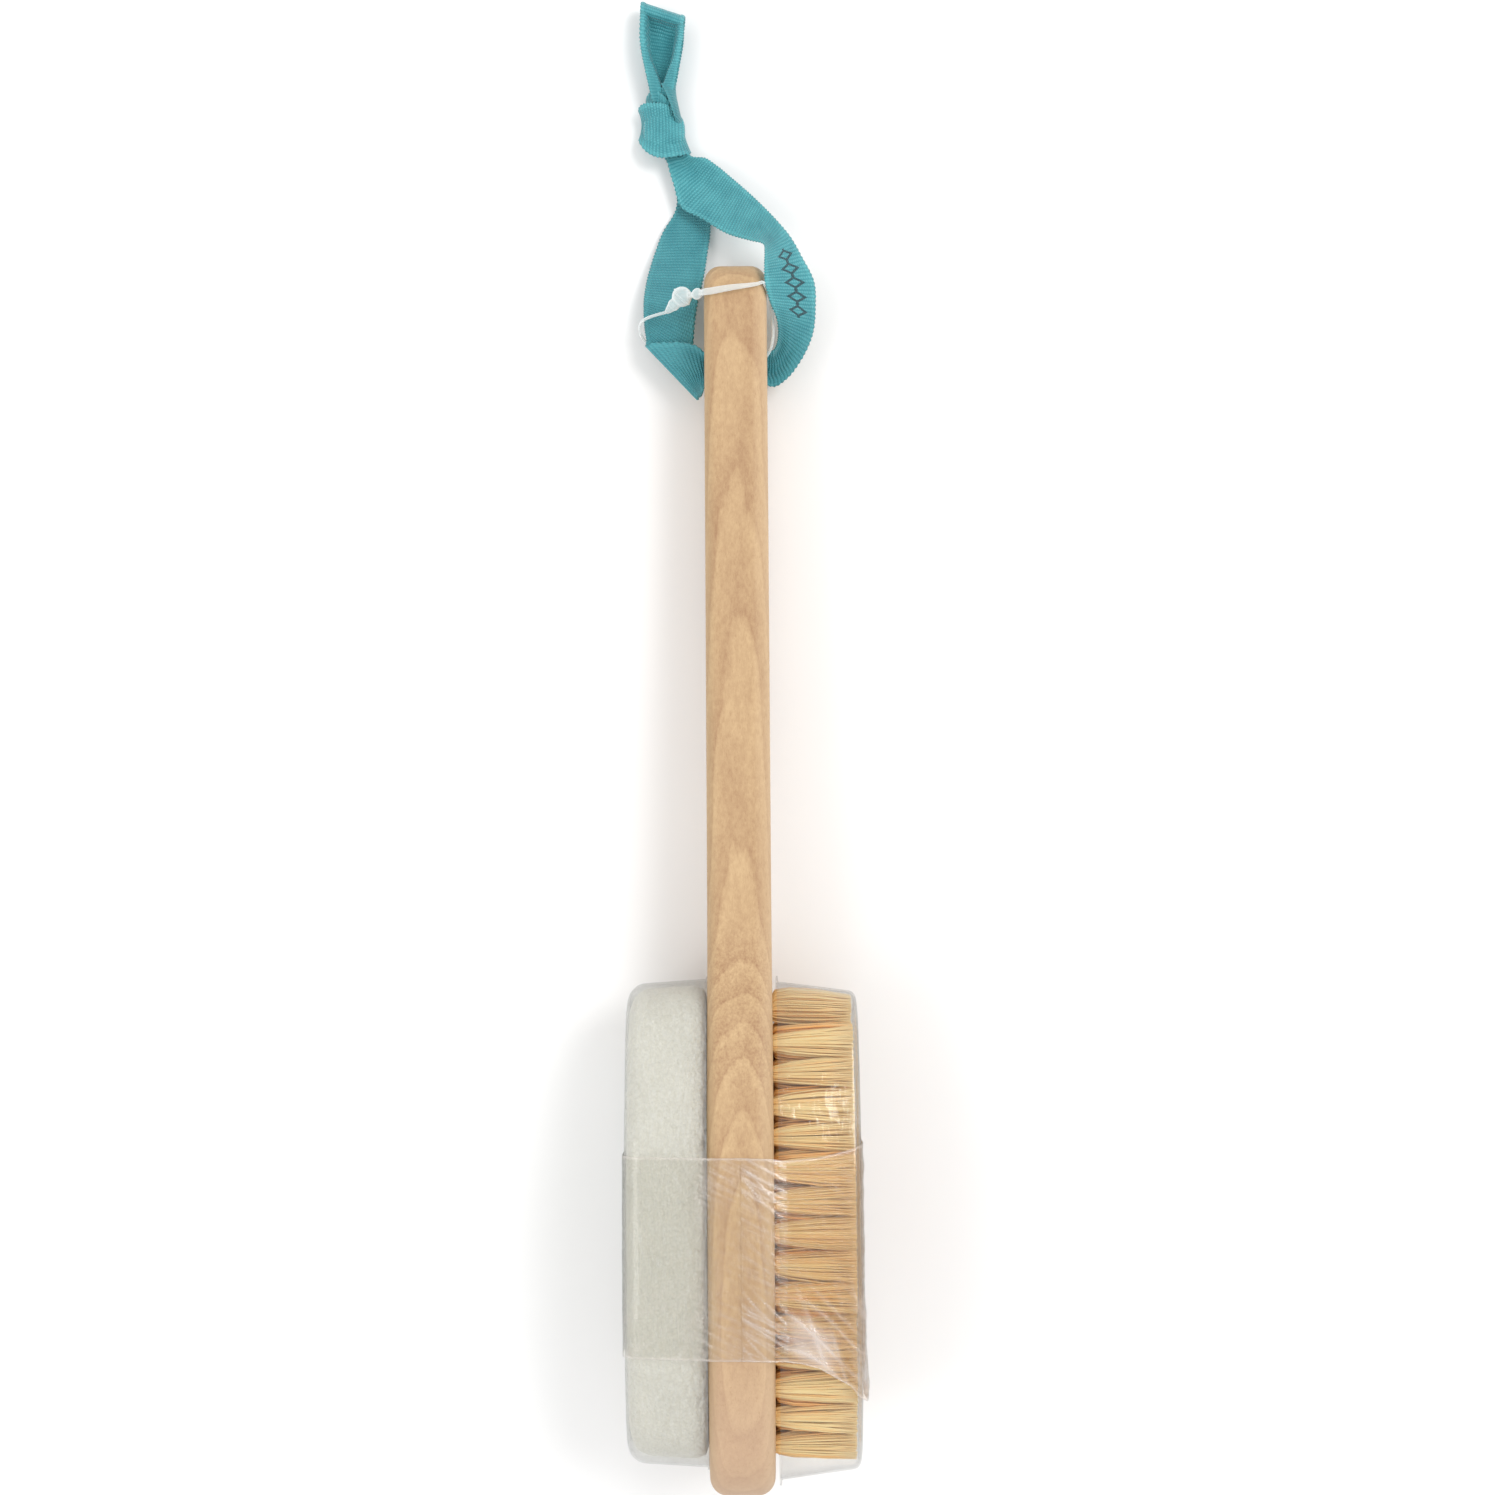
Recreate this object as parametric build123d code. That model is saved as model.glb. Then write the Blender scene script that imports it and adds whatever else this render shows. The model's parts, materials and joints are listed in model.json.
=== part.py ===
"""Long-handled body dry brush in its shop packing, lying on its side.

The brush is first laid out in its own board frame, in millimetres:
  X  through the board, with the bristles on the +X face and the soft pad on the -X face
  Y  along the board, 0 at the widest place of the oval head, towards the handle end
  Z  across the board
It is then turned and lifted so that it lies on one long edge on a flat surface: the oval
head and the handle's tip touch the surface, so the board slopes a little. The hanging
ribbon lies on the same surface and is laid out directly in that resting frame.
"""

import os
from math import asin, cos, degrees, pi, radians, sin, sqrt, tan

from build123d import *

# ---- driving dimensions, mm -------------------------------------------------------------
BOARD_LENGTH = 367.0
BOARD_THICKNESS = 19.0
HEAD_HALF_LENGTH = 78.0
HEAD_HALF_WIDTH = 34.0
HANDLE_HALF_WIDTH = 14.0
NECK_RADIUS = 55.0
END_ROUNDNESS = 0.72  # an oval's end radius over its half width
EDGE_ROUND = 5.0
HANG_HOLE_DIAMETER = 12.0
HANG_HOLE_FROM_TIP = 31.5

ROW_COUNT = 15
ROW_PITCH = 8.85
ROWS_MIDDLE = 0.6
TUFT_PITCH = 7.8
TUFT_HOLE_DIAMETER = 4.3
TUFT_HOLE_DEPTH = 12.0
TUFT_ROOT_DIAMETER = 4.2
TUFT_TIP_DIAMETER = 6.8
BRISTLE_TRIM = 23.6
TIP_CLEARANCE = 0.3
ANCHOR_LENGTH = 4.0
ANCHOR_WIDTH = 2.6
ANCHOR_THICKNESS = 0.4
ANCHOR_GAP = 0.05

PAD_HALF_LENGTH = 67.0
PAD_HALF_WIDTH = 28.6
PAD_CENTRE = 2.6
PAD_THICKNESS = 22.6
PAD_ROUND = 6.0
ADHESIVE_THICKNESS = 0.4

SHEET_THICKNESS = 0.45
FLANGE_THICKNESS = 0.5
FILM_THICKNESS = 0.15
FILM_GAP = 0.2

# rim, wall and crown are the (half length, half width) of a cover's flange, of its wall at
# the flange and of its outer face; lift is the flange's height over the board's face, and
# centre is the oval's middle along the board.
BRISTLE_COVER = {
    "centre": -1.3, "rim": (74.0, 32.4), "wall": (72.4, 31.2), "crown": (69.3, 28.9),
    "lift": 1.3, "depth": 25.0, "corner": 2.5,
}
PAD_COVER = {
    "centre": 1.0, "rim": (71.7, 32.0), "wall": (71.0, 31.2), "crown": (69.4, 29.9),
    "lift": 0.1, "depth": 23.9, "corner": 5.5,
}

RIBBON_THICKNESS = 0.8
RIBBON_HOLE_THICKNESS = 1.4
TAG_DIAMETER = 0.9
TAG_BULB_DIAMETER = 5.6

HALF_BOARD = BOARD_THICKNESS / 2
HANDLE_END = BOARD_LENGTH - HEAD_HALF_LENGTH
HANG_HOLE_Y = HANDLE_END - HANG_HOLE_FROM_TIP


# ---- shared shapes ----------------------------------------------------------------------
def across(x):
    """The plane across the board's thickness at height x, with its own x along the board."""
    return Plane(origin=(x, 0, 0), x_dir=(0, 1, 0), z_dir=(1, 0, 0))


def oval_arcs(half_length, half_width):
    """An oval's end radius, its side radius, and the y where the two arcs meet."""
    end = END_ROUNDNESS * half_width
    reach = half_length - end
    side = (reach**2 + half_width**2 - end**2) / (2 * (half_width - end))
    return end, side, reach + end * reach / (side - end)


def oval_half_width(y, half_length, half_width):
    """The oval's half width at distance y from its middle."""
    end, side, meet = oval_arcs(half_length, half_width)
    if abs(y) > meet:
        return sqrt(end**2 - (abs(y) - half_length + end) ** 2)
    return sqrt(side**2 - y**2) - side + half_width


def oval_face(half_length, half_width):
    """An oval of four tangent arcs, long along x."""
    meet = oval_arcs(half_length, half_width)[2]
    height = oval_half_width(meet, half_length, half_width)
    arcs = []
    for turn in (1, -1):
        near, far = (turn * meet, turn * height), (-turn * meet, turn * height)
        opposite = (-turn * meet, -turn * height)
        arcs.append(ThreePointArc(near, (0, turn * half_width), far))
        arcs.append(ThreePointArc(far, (-turn * half_length, 0), opposite))
    return make_face(arcs)


def oval(x, half_length, half_width, centre=0.0):
    return across(x) * Pos(centre, 0) * oval_face(half_length, half_width)


def oval_column(levels, centre=0.0):
    """A solid through ovals, each given as (x, half length, half width)."""
    return loft([oval(x, a, b, centre) for x, a, b in levels], ruled=True)


def rounded_cap(solid, x, radius):
    """Rounds the rim of the end face that lies at x."""
    rim = [e for e in solid.edges() if abs((e @ 0).X - x) < 0.01 and abs((e @ 1).X - x) < 0.01]
    return fillet(rim, radius)


# ---- how the brush lies -----------------------------------------------------------------
def resting_tilt():
    """Sine of the slope at which the head's edge and the round handle tip both touch down.

    Below its middle line, the slope brings the head's side arc as low as the handle's tip.
    """
    wrap = FILM_GAP + FILM_THICKNESS
    side = oval_arcs(HEAD_HALF_LENGTH + wrap, HEAD_HALF_WIDTH + wrap)[1]
    rise = side - HEAD_HALF_WIDTH - wrap
    reach = HANDLE_END - HANDLE_HALF_WIDTH
    drop = side - HANDLE_HALF_WIDTH
    a = reach**2 + rise**2
    b = 2 * drop * reach
    c = drop**2 - rise**2
    return (b - sqrt(b * b - 4 * a * c)) / (2 * a)


SLOPE = resting_tilt()
LIFT = (HANDLE_END - HANDLE_HALF_WIDTH) * SLOPE + HANDLE_HALF_WIDTH
LYING = Location((0, 0, LIFT)) * Location((0, 0, 0), (-degrees(asin(SLOPE)), 0, 0))
HOLE_Y = HANG_HOLE_Y * cos(asin(SLOPE))
HOLE_Z = LIFT - HANG_HOLE_Y * SLOPE


# ---- wooden board -----------------------------------------------------------------------
def tuft_sites():
    """For each row, from the handle side down, the (y, z) places of its tufts.

    The tufts fill the oval that keeps their splayed tips clear of the cover's outer face.
    """
    tip_room = TUFT_TIP_DIAMETER / 2 + SHEET_THICKNESS + TIP_CLEARANCE
    field = [half - tip_room for half in BRISTLE_COVER["crown"]]
    rows = []
    for row in range(ROW_COUNT):
        y = ROWS_MIDDLE + ((ROW_COUNT - 1) / 2 - row) * ROW_PITCH
        reach = oval_half_width(y - BRISTLE_COVER["centre"], *field)
        count = int(2 * reach / TUFT_PITCH) + 1
        start = -(count - 1) / 2 * TUFT_PITCH
        rows.append([(y, start + i * TUFT_PITCH) for i in range(count)])
    return rows


def make_board(sites):
    """Head, neck and handle in one piece of wood, with the hanging hole and the tuft holes."""
    grip_length = HANDLE_END - HANDLE_HALF_WIDTH
    outline = oval_face(HEAD_HALF_LENGTH, HEAD_HALF_WIDTH)
    outline += Pos(grip_length / 2, 0) * Rectangle(grip_length, 2 * HANDLE_HALF_WIDTH)
    outline += Pos(grip_length, 0) * Circle(HANDLE_HALF_WIDTH)
    neck = [
        v for v in outline.vertices()
        if HEAD_HALF_LENGTH / 2 < v.X < HEAD_HALF_LENGTH and abs(abs(v.Y) - HANDLE_HALF_WIDTH) < 0.01
    ]
    outline = fillet(neck, NECK_RADIUS)
    board = extrude(across(-HALF_BOARD) * outline, BOARD_THICKNESS)
    faces = board.faces().filter_by(Axis.X).sort_by(Axis.X)
    board = fillet(faces[0].edges() + faces[-1].edges(), EDGE_ROUND)
    drill = Cylinder(HANG_HOLE_DIAMETER / 2, 2 * BOARD_THICKNESS, rotation=(0, 90, 0))
    board -= Pos(0, HANG_HOLE_Y, 0) * drill
    bit = Cylinder(
        TUFT_HOLE_DIAMETER / 2, TUFT_HOLE_DEPTH, rotation=(0, 90, 0),
        align=(Align.CENTER, Align.CENTER, Align.MIN),
    )
    floor = HALF_BOARD - TUFT_HOLE_DEPTH
    return board - [Pos(floor, y, z) * bit for row in sites for y, z in row]


# ---- bristles ---------------------------------------------------------------------------
def make_tuft():
    """One bundle: straight in its hole, splayed above the board, slotted for its anchor."""
    root = HALF_BOARD - TUFT_HOLE_DEPTH
    profile = Polygon(
        (root, 0),
        (root, TUFT_ROOT_DIAMETER / 2),
        (HALF_BOARD, TUFT_ROOT_DIAMETER / 2),
        (HALF_BOARD + BRISTLE_TRIM, TUFT_TIP_DIAMETER / 2),
        (HALF_BOARD + BRISTLE_TRIM, 0),
        align=None,
    )
    tuft = revolve(profile, Axis.X)
    slot = Box(
        ANCHOR_WIDTH + ANCHOR_GAP, ANCHOR_THICKNESS + 2 * ANCHOR_GAP, 2 * TUFT_ROOT_DIAMETER,
        align=(Align.MIN, Align.CENTER, Align.CENTER),
    )
    return tuft - Pos(root, 0, 0) * slot


def make_anchor():
    """The flat wire driven into the hole, which the bristles are folded over."""
    return Pos(HALF_BOARD - TUFT_HOLE_DEPTH, 0, 0) * Box(
        ANCHOR_WIDTH, ANCHOR_THICKNESS, ANCHOR_LENGTH,
        align=(Align.MIN, Align.CENTER, Align.CENTER),
    )


# ---- soft pad ---------------------------------------------------------------------------
def make_adhesive():
    return extrude(
        oval(-HALF_BOARD, PAD_HALF_LENGTH - PAD_ROUND, PAD_HALF_WIDTH - PAD_ROUND, PAD_CENTRE),
        -ADHESIVE_THICKNESS,
    )


def make_pad():
    base = -HALF_BOARD - ADHESIVE_THICKNESS
    face = base - PAD_THICKNESS
    pad = extrude(oval(base, PAD_HALF_LENGTH, PAD_HALF_WIDTH, PAD_CENTRE), -PAD_THICKNESS)
    pad = rounded_cap(pad, face, PAD_ROUND)
    return rounded_cap(pad, base, PAD_ROUND / 2)


# ---- clear covers -----------------------------------------------------------------------
def make_cover(side, centre, rim, wall, crown, lift, depth, corner):
    """A formed clear shell with a flat flange; side is +1 over the bristles, -1 over the pad."""
    foot = side * (HALF_BOARD + lift)
    face = side * (HALF_BOARD + depth)
    inner_face = face - side * SHEET_THICKNESS
    outer = rounded_cap(oval_column([(foot, *wall), (face, *crown)], centre), face, corner)
    inner_wall = [half - SHEET_THICKNESS for half in wall]
    inner_crown = [half - SHEET_THICKNESS for half in crown]
    inner = oval_column([(foot, *inner_wall), (inner_face, *inner_crown)], centre)
    inner = rounded_cap(inner, inner_face, corner - SHEET_THICKNESS)
    flange = extrude(oval(foot, *rim, centre), side * FLANGE_THICKNESS)
    return (outer + flange) - inner


# ---- shrink film ------------------------------------------------------------------------
def film_levels(side, slack, flange, shoulder, face):
    """Ovals that the film follows from its seam on the board's edge to a cover's outer face.

    flange, shoulder and face are (distance from the board's middle, oval inset from the
    board's outline) where the film passes the cover's flange, its corner and its outer face.
    """
    seam = ((0.0, 0.0), (HALF_BOARD - EDGE_ROUND, 0.0))
    levels = []
    for distance, inset in (*seam, flange, shoulder, face):
        half_length = HEAD_HALF_LENGTH + slack - inset
        levels.append((side * distance, half_length, HEAD_HALF_WIDTH + slack - inset))
    return levels


def make_film(side, flange, shoulder, reach, at_seam, at_face):
    """Half of the shrink band, torn at the board's edge.

    at_seam and at_face are the band's lowest and highest y at the board and at the cover.
    """
    outer_face = (reach, shoulder[1] + 3.0)
    inner_face = (reach - FILM_THICKNESS, shoulder[1] + 3.0)
    outer = oval_column(film_levels(side, FILM_GAP + FILM_THICKNESS, flange, shoulder, outer_face))
    inner = oval_column(film_levels(side, FILM_GAP, flange, shoulder, inner_face))
    far = side * (reach + 1)
    corners = (0, at_seam[0]), (far, at_face[0]), (far, at_face[1]), (0, at_seam[1])
    band = extrude(Plane.XY * Polygon(*corners, align=None), 2 * HEAD_HALF_WIDTH, both=True)
    return (outer - inner) & band


# ---- hanging ribbon, in the resting frame -------------------------------------------------
# Each station is (outer edge point, inner edge point) across the ribbon, knot to knot: over
# the surface on the right, back through the hole, and up on the left.
RIGHT_STRAND = [
    ((-14.5, 325.5, 6.0), (-20.5, 323.5, 5.2)),
    ((-8.0, 324.0, 7.4), (-15.5, 310.0, 5.0)),
    ((0.4, 316.2, 10.5), (-7.6, 303.6, 7.0)),
    ((6.8, 309.0, 13.5), (0.6, 299.2, 12.0)),
    ((11.2, 303.2, 17.0), (8.2, 295.5, 20.0)),
    ((16.3, 296.5, 18.5), (8.4, 291.0, 25.0)),
    ((20.2, 290.2, 18.5), (8.6, 286.0, 27.6)),
    ((24.0, 282.8, 17.0), (9.0, 280.5, 27.4)),
    ((24.5, 275.8, 15.0), (10.6, 275.3, 24.5)),
    ((23.7, 268.2, 13.5), (12.6, 270.6, 20.0)),
    ((20.2, 260.4, 12.8), (13.0, 266.6, 17.0)),
    ((15.5, 254.2, 13.4), (12.2, 263.6, 15.4)),
    ((11.8, 251.6, 14.6), (11.0, 261.9, 15.3)),
]
LEFT_STRAND = [
    ((-11.8, 250.4, 14.8), (-11.2, 263.2, 15.2)),
    ((-14.6, 252.0, 13.8), (-12.2, 264.6, 14.6)),
    ((-19.0, 256.4, 12.4), (-13.0, 265.0, 13.8)),
    ((-23.4, 260.8, 11.4), (-13.4, 265.4, 13.0)),
    ((-27.2, 265.4, 10.6), (-13.4, 266.6, 12.0)),
    ((-28.2, 272.0, 9.4), (-12.6, 270.8, 10.8)),
    ((-28.4, 280.2, 7.2), (-11.8, 280.0, 8.2)),
    ((-27.0, 289.2, 4.6), (-9.9, 287.6, 5.2)),
    ((-24.6, 298.3, 2.6), (-8.7, 296.6, 2.9)),
    ((-21.3, 306.0, 1.6), (-7.8, 303.2, 1.8)),
    ((-18.4, 313.0, 1.3), (-8.6, 309.2, 1.5)),
    ((-19.6, 319.5, 1.4), (-10.6, 317.6, 1.6)),
    ((-23.5, 327.0, 2.4), (-15.5, 326.0, 2.6)),
]
IN_HOLE_HALF_WIDTH = 5.1
KNOT_CENTRE = (-22.0, 332.8)
KNOT_SIZE = (17.6, 16.6, 9.6)
TOP_LOOP_OUTLINE = [
    (-19.6, 339.0), (-18.0, 348.4), (-16.4, 357.6), (-15.2, 366.4), (-15.9, 368.2), (-26.0, 372.8),
    (-28.7, 372.6), (-29.0, 361.0), (-28.1, 354.6), (-26.6, 348.4), (-25.4, 339.0),
]
TOP_LOOP_REACH = (338.0, 372.8)
TOP_LOOP_HEIGHT = 7.2


def ribbon_stations():
    """All stations in order, with the ribbon gathered where it passes through the hole."""
    mouth = HALF_BOARD + 0.4
    ends = [
        ((x, HOLE_Y - IN_HOLE_HALF_WIDTH, HOLE_Z), (x, HOLE_Y + IN_HOLE_HALF_WIDTH, HOLE_Z))
        for x in (mouth, -mouth)
    ]
    return RIGHT_STRAND + ends + LEFT_STRAND


def ribbon_section(before, here, after, thickness):
    """A rectangle across the ribbon at one station, square to its way."""
    outer, inner = Vector(*here[0]), Vector(*here[1])
    way = (Vector(*after[0]) + Vector(*after[1])) - (Vector(*before[0]) + Vector(*before[1]))
    up = way.cross(inner - outer).normalized() * (thickness / 2)
    return Wire.make_polygon([outer + up, inner + up, inner - up, outer - up], close=True)


def make_ribbon_loop(knot):
    stations = ribbon_stations()
    sections = []
    for i, here in enumerate(stations):
        before = stations[max(i - 1, 0)]
        after = stations[min(i + 1, len(stations) - 1)]
        in_hole = abs(here[0][0]) < HALF_BOARD + 1 and abs(here[0][1] - HOLE_Y) < HANG_HOLE_DIAMETER
        thickness = RIBBON_HOLE_THICKNESS if in_hole else RIBBON_THICKNESS
        sections.append(ribbon_section(before, here, after, thickness))
    return Solid.make_loft(sections, ruled=True) - knot


def make_knot():
    knot = extrude(Pos(*KNOT_CENTRE, 0.2) * RectangleRounded(KNOT_SIZE[0], KNOT_SIZE[1], 5.5), KNOT_SIZE[2])
    return fillet(knot.faces().filter_by(Axis.Z).edges(), 3.2)


def make_top_loop(knot):
    """The small loop above the knot: one strip out along the surface and folded back over."""
    low, high = TOP_LOOP_REACH
    outer = SlotOverall(high - low, TOP_LOOP_HEIGHT)
    inner = SlotOverall(high - low - 2 * RIBBON_THICKNESS, TOP_LOOP_HEIGHT - 2 * RIBBON_THICKNESS)
    middle = (0, (low + high) / 2, 0.2 + TOP_LOOP_HEIGHT / 2)
    side_plane = Plane(origin=middle, x_dir=(0, 1, 0), z_dir=(1, 0, 0))
    ring = extrude(side_plane * (outer - inner), 40, both=True)
    outline = extrude(Polygon(*TOP_LOOP_OUTLINE, align=None), 2 * TOP_LOOP_HEIGHT)
    return (ring & outline) - knot


# ---- tag pin, in the resting frame ---------------------------------------------------------
BULB_CENTRE = (-16.2, 277.6, 21.6)
PADDLE_WAY = [(-9.4, 277.8, 27.1), (-3.6, 278.2, 29.5), (3.4, 279.2, 29.2)]
PADDLE_END = (8.6, 280.6, 26.4)
COLLAR_END = (-21.0, 273.4, 19.4)
TAG_ROUTE = [
    PADDLE_END,
    (10.6, 277.6, 22.0),
    (11.2, 272.4, 18.0),
    (11.6, 265.6, 17.4),
    (9.8, 259.8, 17.2),
    (2.6, 257.2, 17.6),
    (-5.2, 254.4, 17.6),
    (-10.8, 251.6, 17.0),
    (-15.8, 248.4, 14.6),
    (-18.6, 250.2, 9.6),
    (-23.0, 256.6, 7.2),
    (-27.8, 263.4, 6.2),
    (-31.2, 269.6, 9.0),
    (-28.4, 272.6, 14.8),
    COLLAR_END,
]
BEND_SHARE = 0.45


def bend_radii(points):
    """The largest arc that each corner of a route leaves room for."""
    radii = []
    for before, here, after in zip(points, points[1:], points[2:]):
        way_in, way_out = Vector(*here) - Vector(*before), Vector(*after) - Vector(*here)
        half_turn = radians(way_in.get_angle(way_out)) / 2
        radii.append(BEND_SHARE * min(way_in.length, way_out.length) / tan(half_turn))
    return radii


def make_tag_strand(lock):
    radii = bend_radii(TAG_ROUTE)
    path = FilletPolyline(*TAG_ROUTE, radius=radii)
    start = Plane(origin=path @ 0, z_dir=path % 0)
    tube = sweep(start * Circle(TAG_DIAMETER / 2), path=path)
    expected = pi * TAG_DIAMETER**2 / 4 * path.length
    print("tag strand bend radii, mm:", [round(r, 1) for r in radii])
    print(f"tag strand length {path.length:.1f} mm, tube volume / expected {tube.volume / expected:.4f}")
    return tube - lock


def make_tag_lock():
    """The bulb that the strand's tip snaps into, with its collar and its flat tapered tail."""
    centre = Vector(*BULB_CENTRE)
    collar = Vector(*COLLAR_END)
    tail = [centre] + [Vector(*p) for p in PADDLE_WAY] + [Vector(*PADDLE_END)]
    widths = (2.2, 3.6, 3.2, 2.0, 1.1)
    sections = []
    for i, (here, width) in enumerate(zip(tail, widths)):
        way = tail[min(i + 1, len(tail) - 1)] - tail[max(i - 1, 0)]
        plane = Plane(origin=here, x_dir=Vector(0, 1, 0), z_dir=way)
        sections.append(plane * Rectangle(width, TAG_DIAMETER * 1.2))
    radius, reach = TAG_BULB_DIAMETER / 2, (collar - centre).length
    bulb_and_neck = revolve(
        Plane.XZ * make_face(
            ThreePointArc((0, -radius), (radius, 0), (0.8 * radius, 0.6 * radius))
            + Polyline((0.8 * radius, 0.6 * radius), (TAG_DIAMETER, reach), (0, reach), (0, -radius))
        ),
        axis=Axis.Z,
    )
    return Plane(origin=centre, z_dir=collar - centre) * bulb_and_neck + loft(sections, ruled=True)


# ---- assembly ---------------------------------------------------------------------------
def make_parts():
    """Every node in the resting frame, by name."""
    sites = tuft_sites()
    tuft, anchor = make_tuft(), make_anchor()
    upright = {
        "board": make_board(sites),
        "tuft_anchors": Compound([Pos(0, y, z) * anchor for row in sites for y, z in row]),
        "pad_adhesive": make_adhesive(),
        "pad": make_pad(),
        "pad_cover": make_cover(-1, **PAD_COVER),
        "bristle_cover": make_cover(1, **BRISTLE_COVER),
        "film_band_pad_side": make_film(
            -1, flange=(10.4, 1.5), shoulder=(30.4, 4.0), reach=33.8,
            at_seam=(-33.5, 23.0), at_face=(-33.5, 23.0),
        ),
        "film_band_bristle_side": make_film(
            1, flange=(11.8, 1.4), shoulder=(33.6, 4.5), reach=35.0,
            at_seam=(-33.5, 23.0), at_face=(-48.0, 26.0),
        ),
    }
    for number, row in enumerate(sites, 1):
        upright[f"bristle_row_{number:02d}"] = Compound([Pos(0, y, z) * tuft for y, z in row])
    parts = {name: LYING * solid for name, solid in upright.items()}
    knot, lock = make_knot(), make_tag_lock()
    parts["ribbon_knot"] = knot
    parts["ribbon_loop"] = make_ribbon_loop(knot)
    parts["ribbon_top_loop"] = make_top_loop(knot)
    parts["tag_lock"] = lock
    parts["tag_strand"] = make_tag_strand(lock)
    return parts


CORD_NODES = ("tag_strand", "tag_lock")


def centre_on_floor(parts):
    """The move that puts the origin under the middle of the object's box, on the surface."""
    body = Compound([shape for name, shape in parts.items() if name not in CORD_NODES])
    box = body.bounding_box()
    return Location((-(box.min.X + box.max.X) / 2, -(box.min.Y + box.max.Y) / 2, -box.min.Z))


def main():
    os.makedirs("parts", exist_ok=True)
    parts = make_parts()
    move = centre_on_floor(parts)
    for name, shape in parts.items():
        export_step(move * shape, f"parts/{name}.step")
    hole = move * Location((0, HOLE_Y, HOLE_Z))
    middle = move * LYING
    print("hanging hole at", hole.position, "head's middle at", middle.position)
    print("slope of the board, degrees:", round(degrees(asin(SLOPE)), 3))


main()
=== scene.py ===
import json
import math

import bmesh
import bpy
import numpy as np
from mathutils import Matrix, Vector


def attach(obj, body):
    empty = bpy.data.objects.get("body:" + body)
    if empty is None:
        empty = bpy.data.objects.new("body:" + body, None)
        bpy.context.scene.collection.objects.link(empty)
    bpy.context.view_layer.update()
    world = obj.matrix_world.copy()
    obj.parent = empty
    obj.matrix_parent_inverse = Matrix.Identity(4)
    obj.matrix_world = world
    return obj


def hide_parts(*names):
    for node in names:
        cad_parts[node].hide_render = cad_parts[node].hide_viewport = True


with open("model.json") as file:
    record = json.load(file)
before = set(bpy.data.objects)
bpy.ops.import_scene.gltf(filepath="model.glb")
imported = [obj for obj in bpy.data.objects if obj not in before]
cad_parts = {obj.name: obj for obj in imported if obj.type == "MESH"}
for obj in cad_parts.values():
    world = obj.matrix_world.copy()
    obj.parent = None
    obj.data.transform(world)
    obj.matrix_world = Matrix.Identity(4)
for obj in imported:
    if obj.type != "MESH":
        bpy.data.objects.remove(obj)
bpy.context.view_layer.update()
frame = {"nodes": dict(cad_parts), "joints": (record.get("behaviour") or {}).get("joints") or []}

# ---- places --------------------------------------------------------------------------
# Two ways to give a point in millimetres: "on the table" has its origin under the middle of
# the head, on the floor, and "on the board" has x through the board's thickness, y from the
# head's middle to the handle's tip and z across the board's width.
MM = 0.001
SLOPE = math.radians(4.33)
HOLE_FROM_MIDDLE = 257.5
HALF_BOARD = 9.5
HEAD = (78.0, 34.0)
END_ROUNDNESS = 0.72

joints = {joint["name"]: joint for joint in frame["joints"]}
hole = np.array(joints["ribbon_swing"]["pos_m"]) / MM
ALONG = np.array([0.0, math.cos(SLOPE), -math.sin(SLOPE)])
UP = np.array([0.0, math.sin(SLOPE), math.cos(SLOPE)])
MIDDLE = hole - HOLE_FROM_MIDDLE * ALONG
BOARD_AXES = np.array([[1.0, 0.0, 0.0], ALONG, UP])


def on_table(points):
    """Points on the table, in metres in the row frame."""
    return (np.asarray(points, float) + [MIDDLE[0], MIDDLE[1], 0.0]) * MM


def on_board(points):
    """Points on the board, in metres in the row frame."""
    return (MIDDLE + np.asarray(points, float) @ BOARD_AXES) * MM


def board_points(node):
    """A CAD node's vertices in the board's own millimetres."""
    co = np.array([v.co for v in frame["nodes"][node].data.vertices], float) / MM
    return (co - MIDDLE) @ BOARD_AXES.T


# ---- camera --------------------------------------------------------------------------
lens = bpy.data.cameras.new("camera")
lens.lens = 48.9
lens.sensor_width = 36.0
lens.clip_start = 0.01
camera = bpy.data.objects.new("camera", lens)
bpy.context.scene.collection.objects.link(camera)
camera.location = Vector(on_table((2.77, 140.9, 637.0)))
camera.rotation_euler = (0.0, 0.0, -0.00683)
bpy.context.scene.camera = camera


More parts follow.
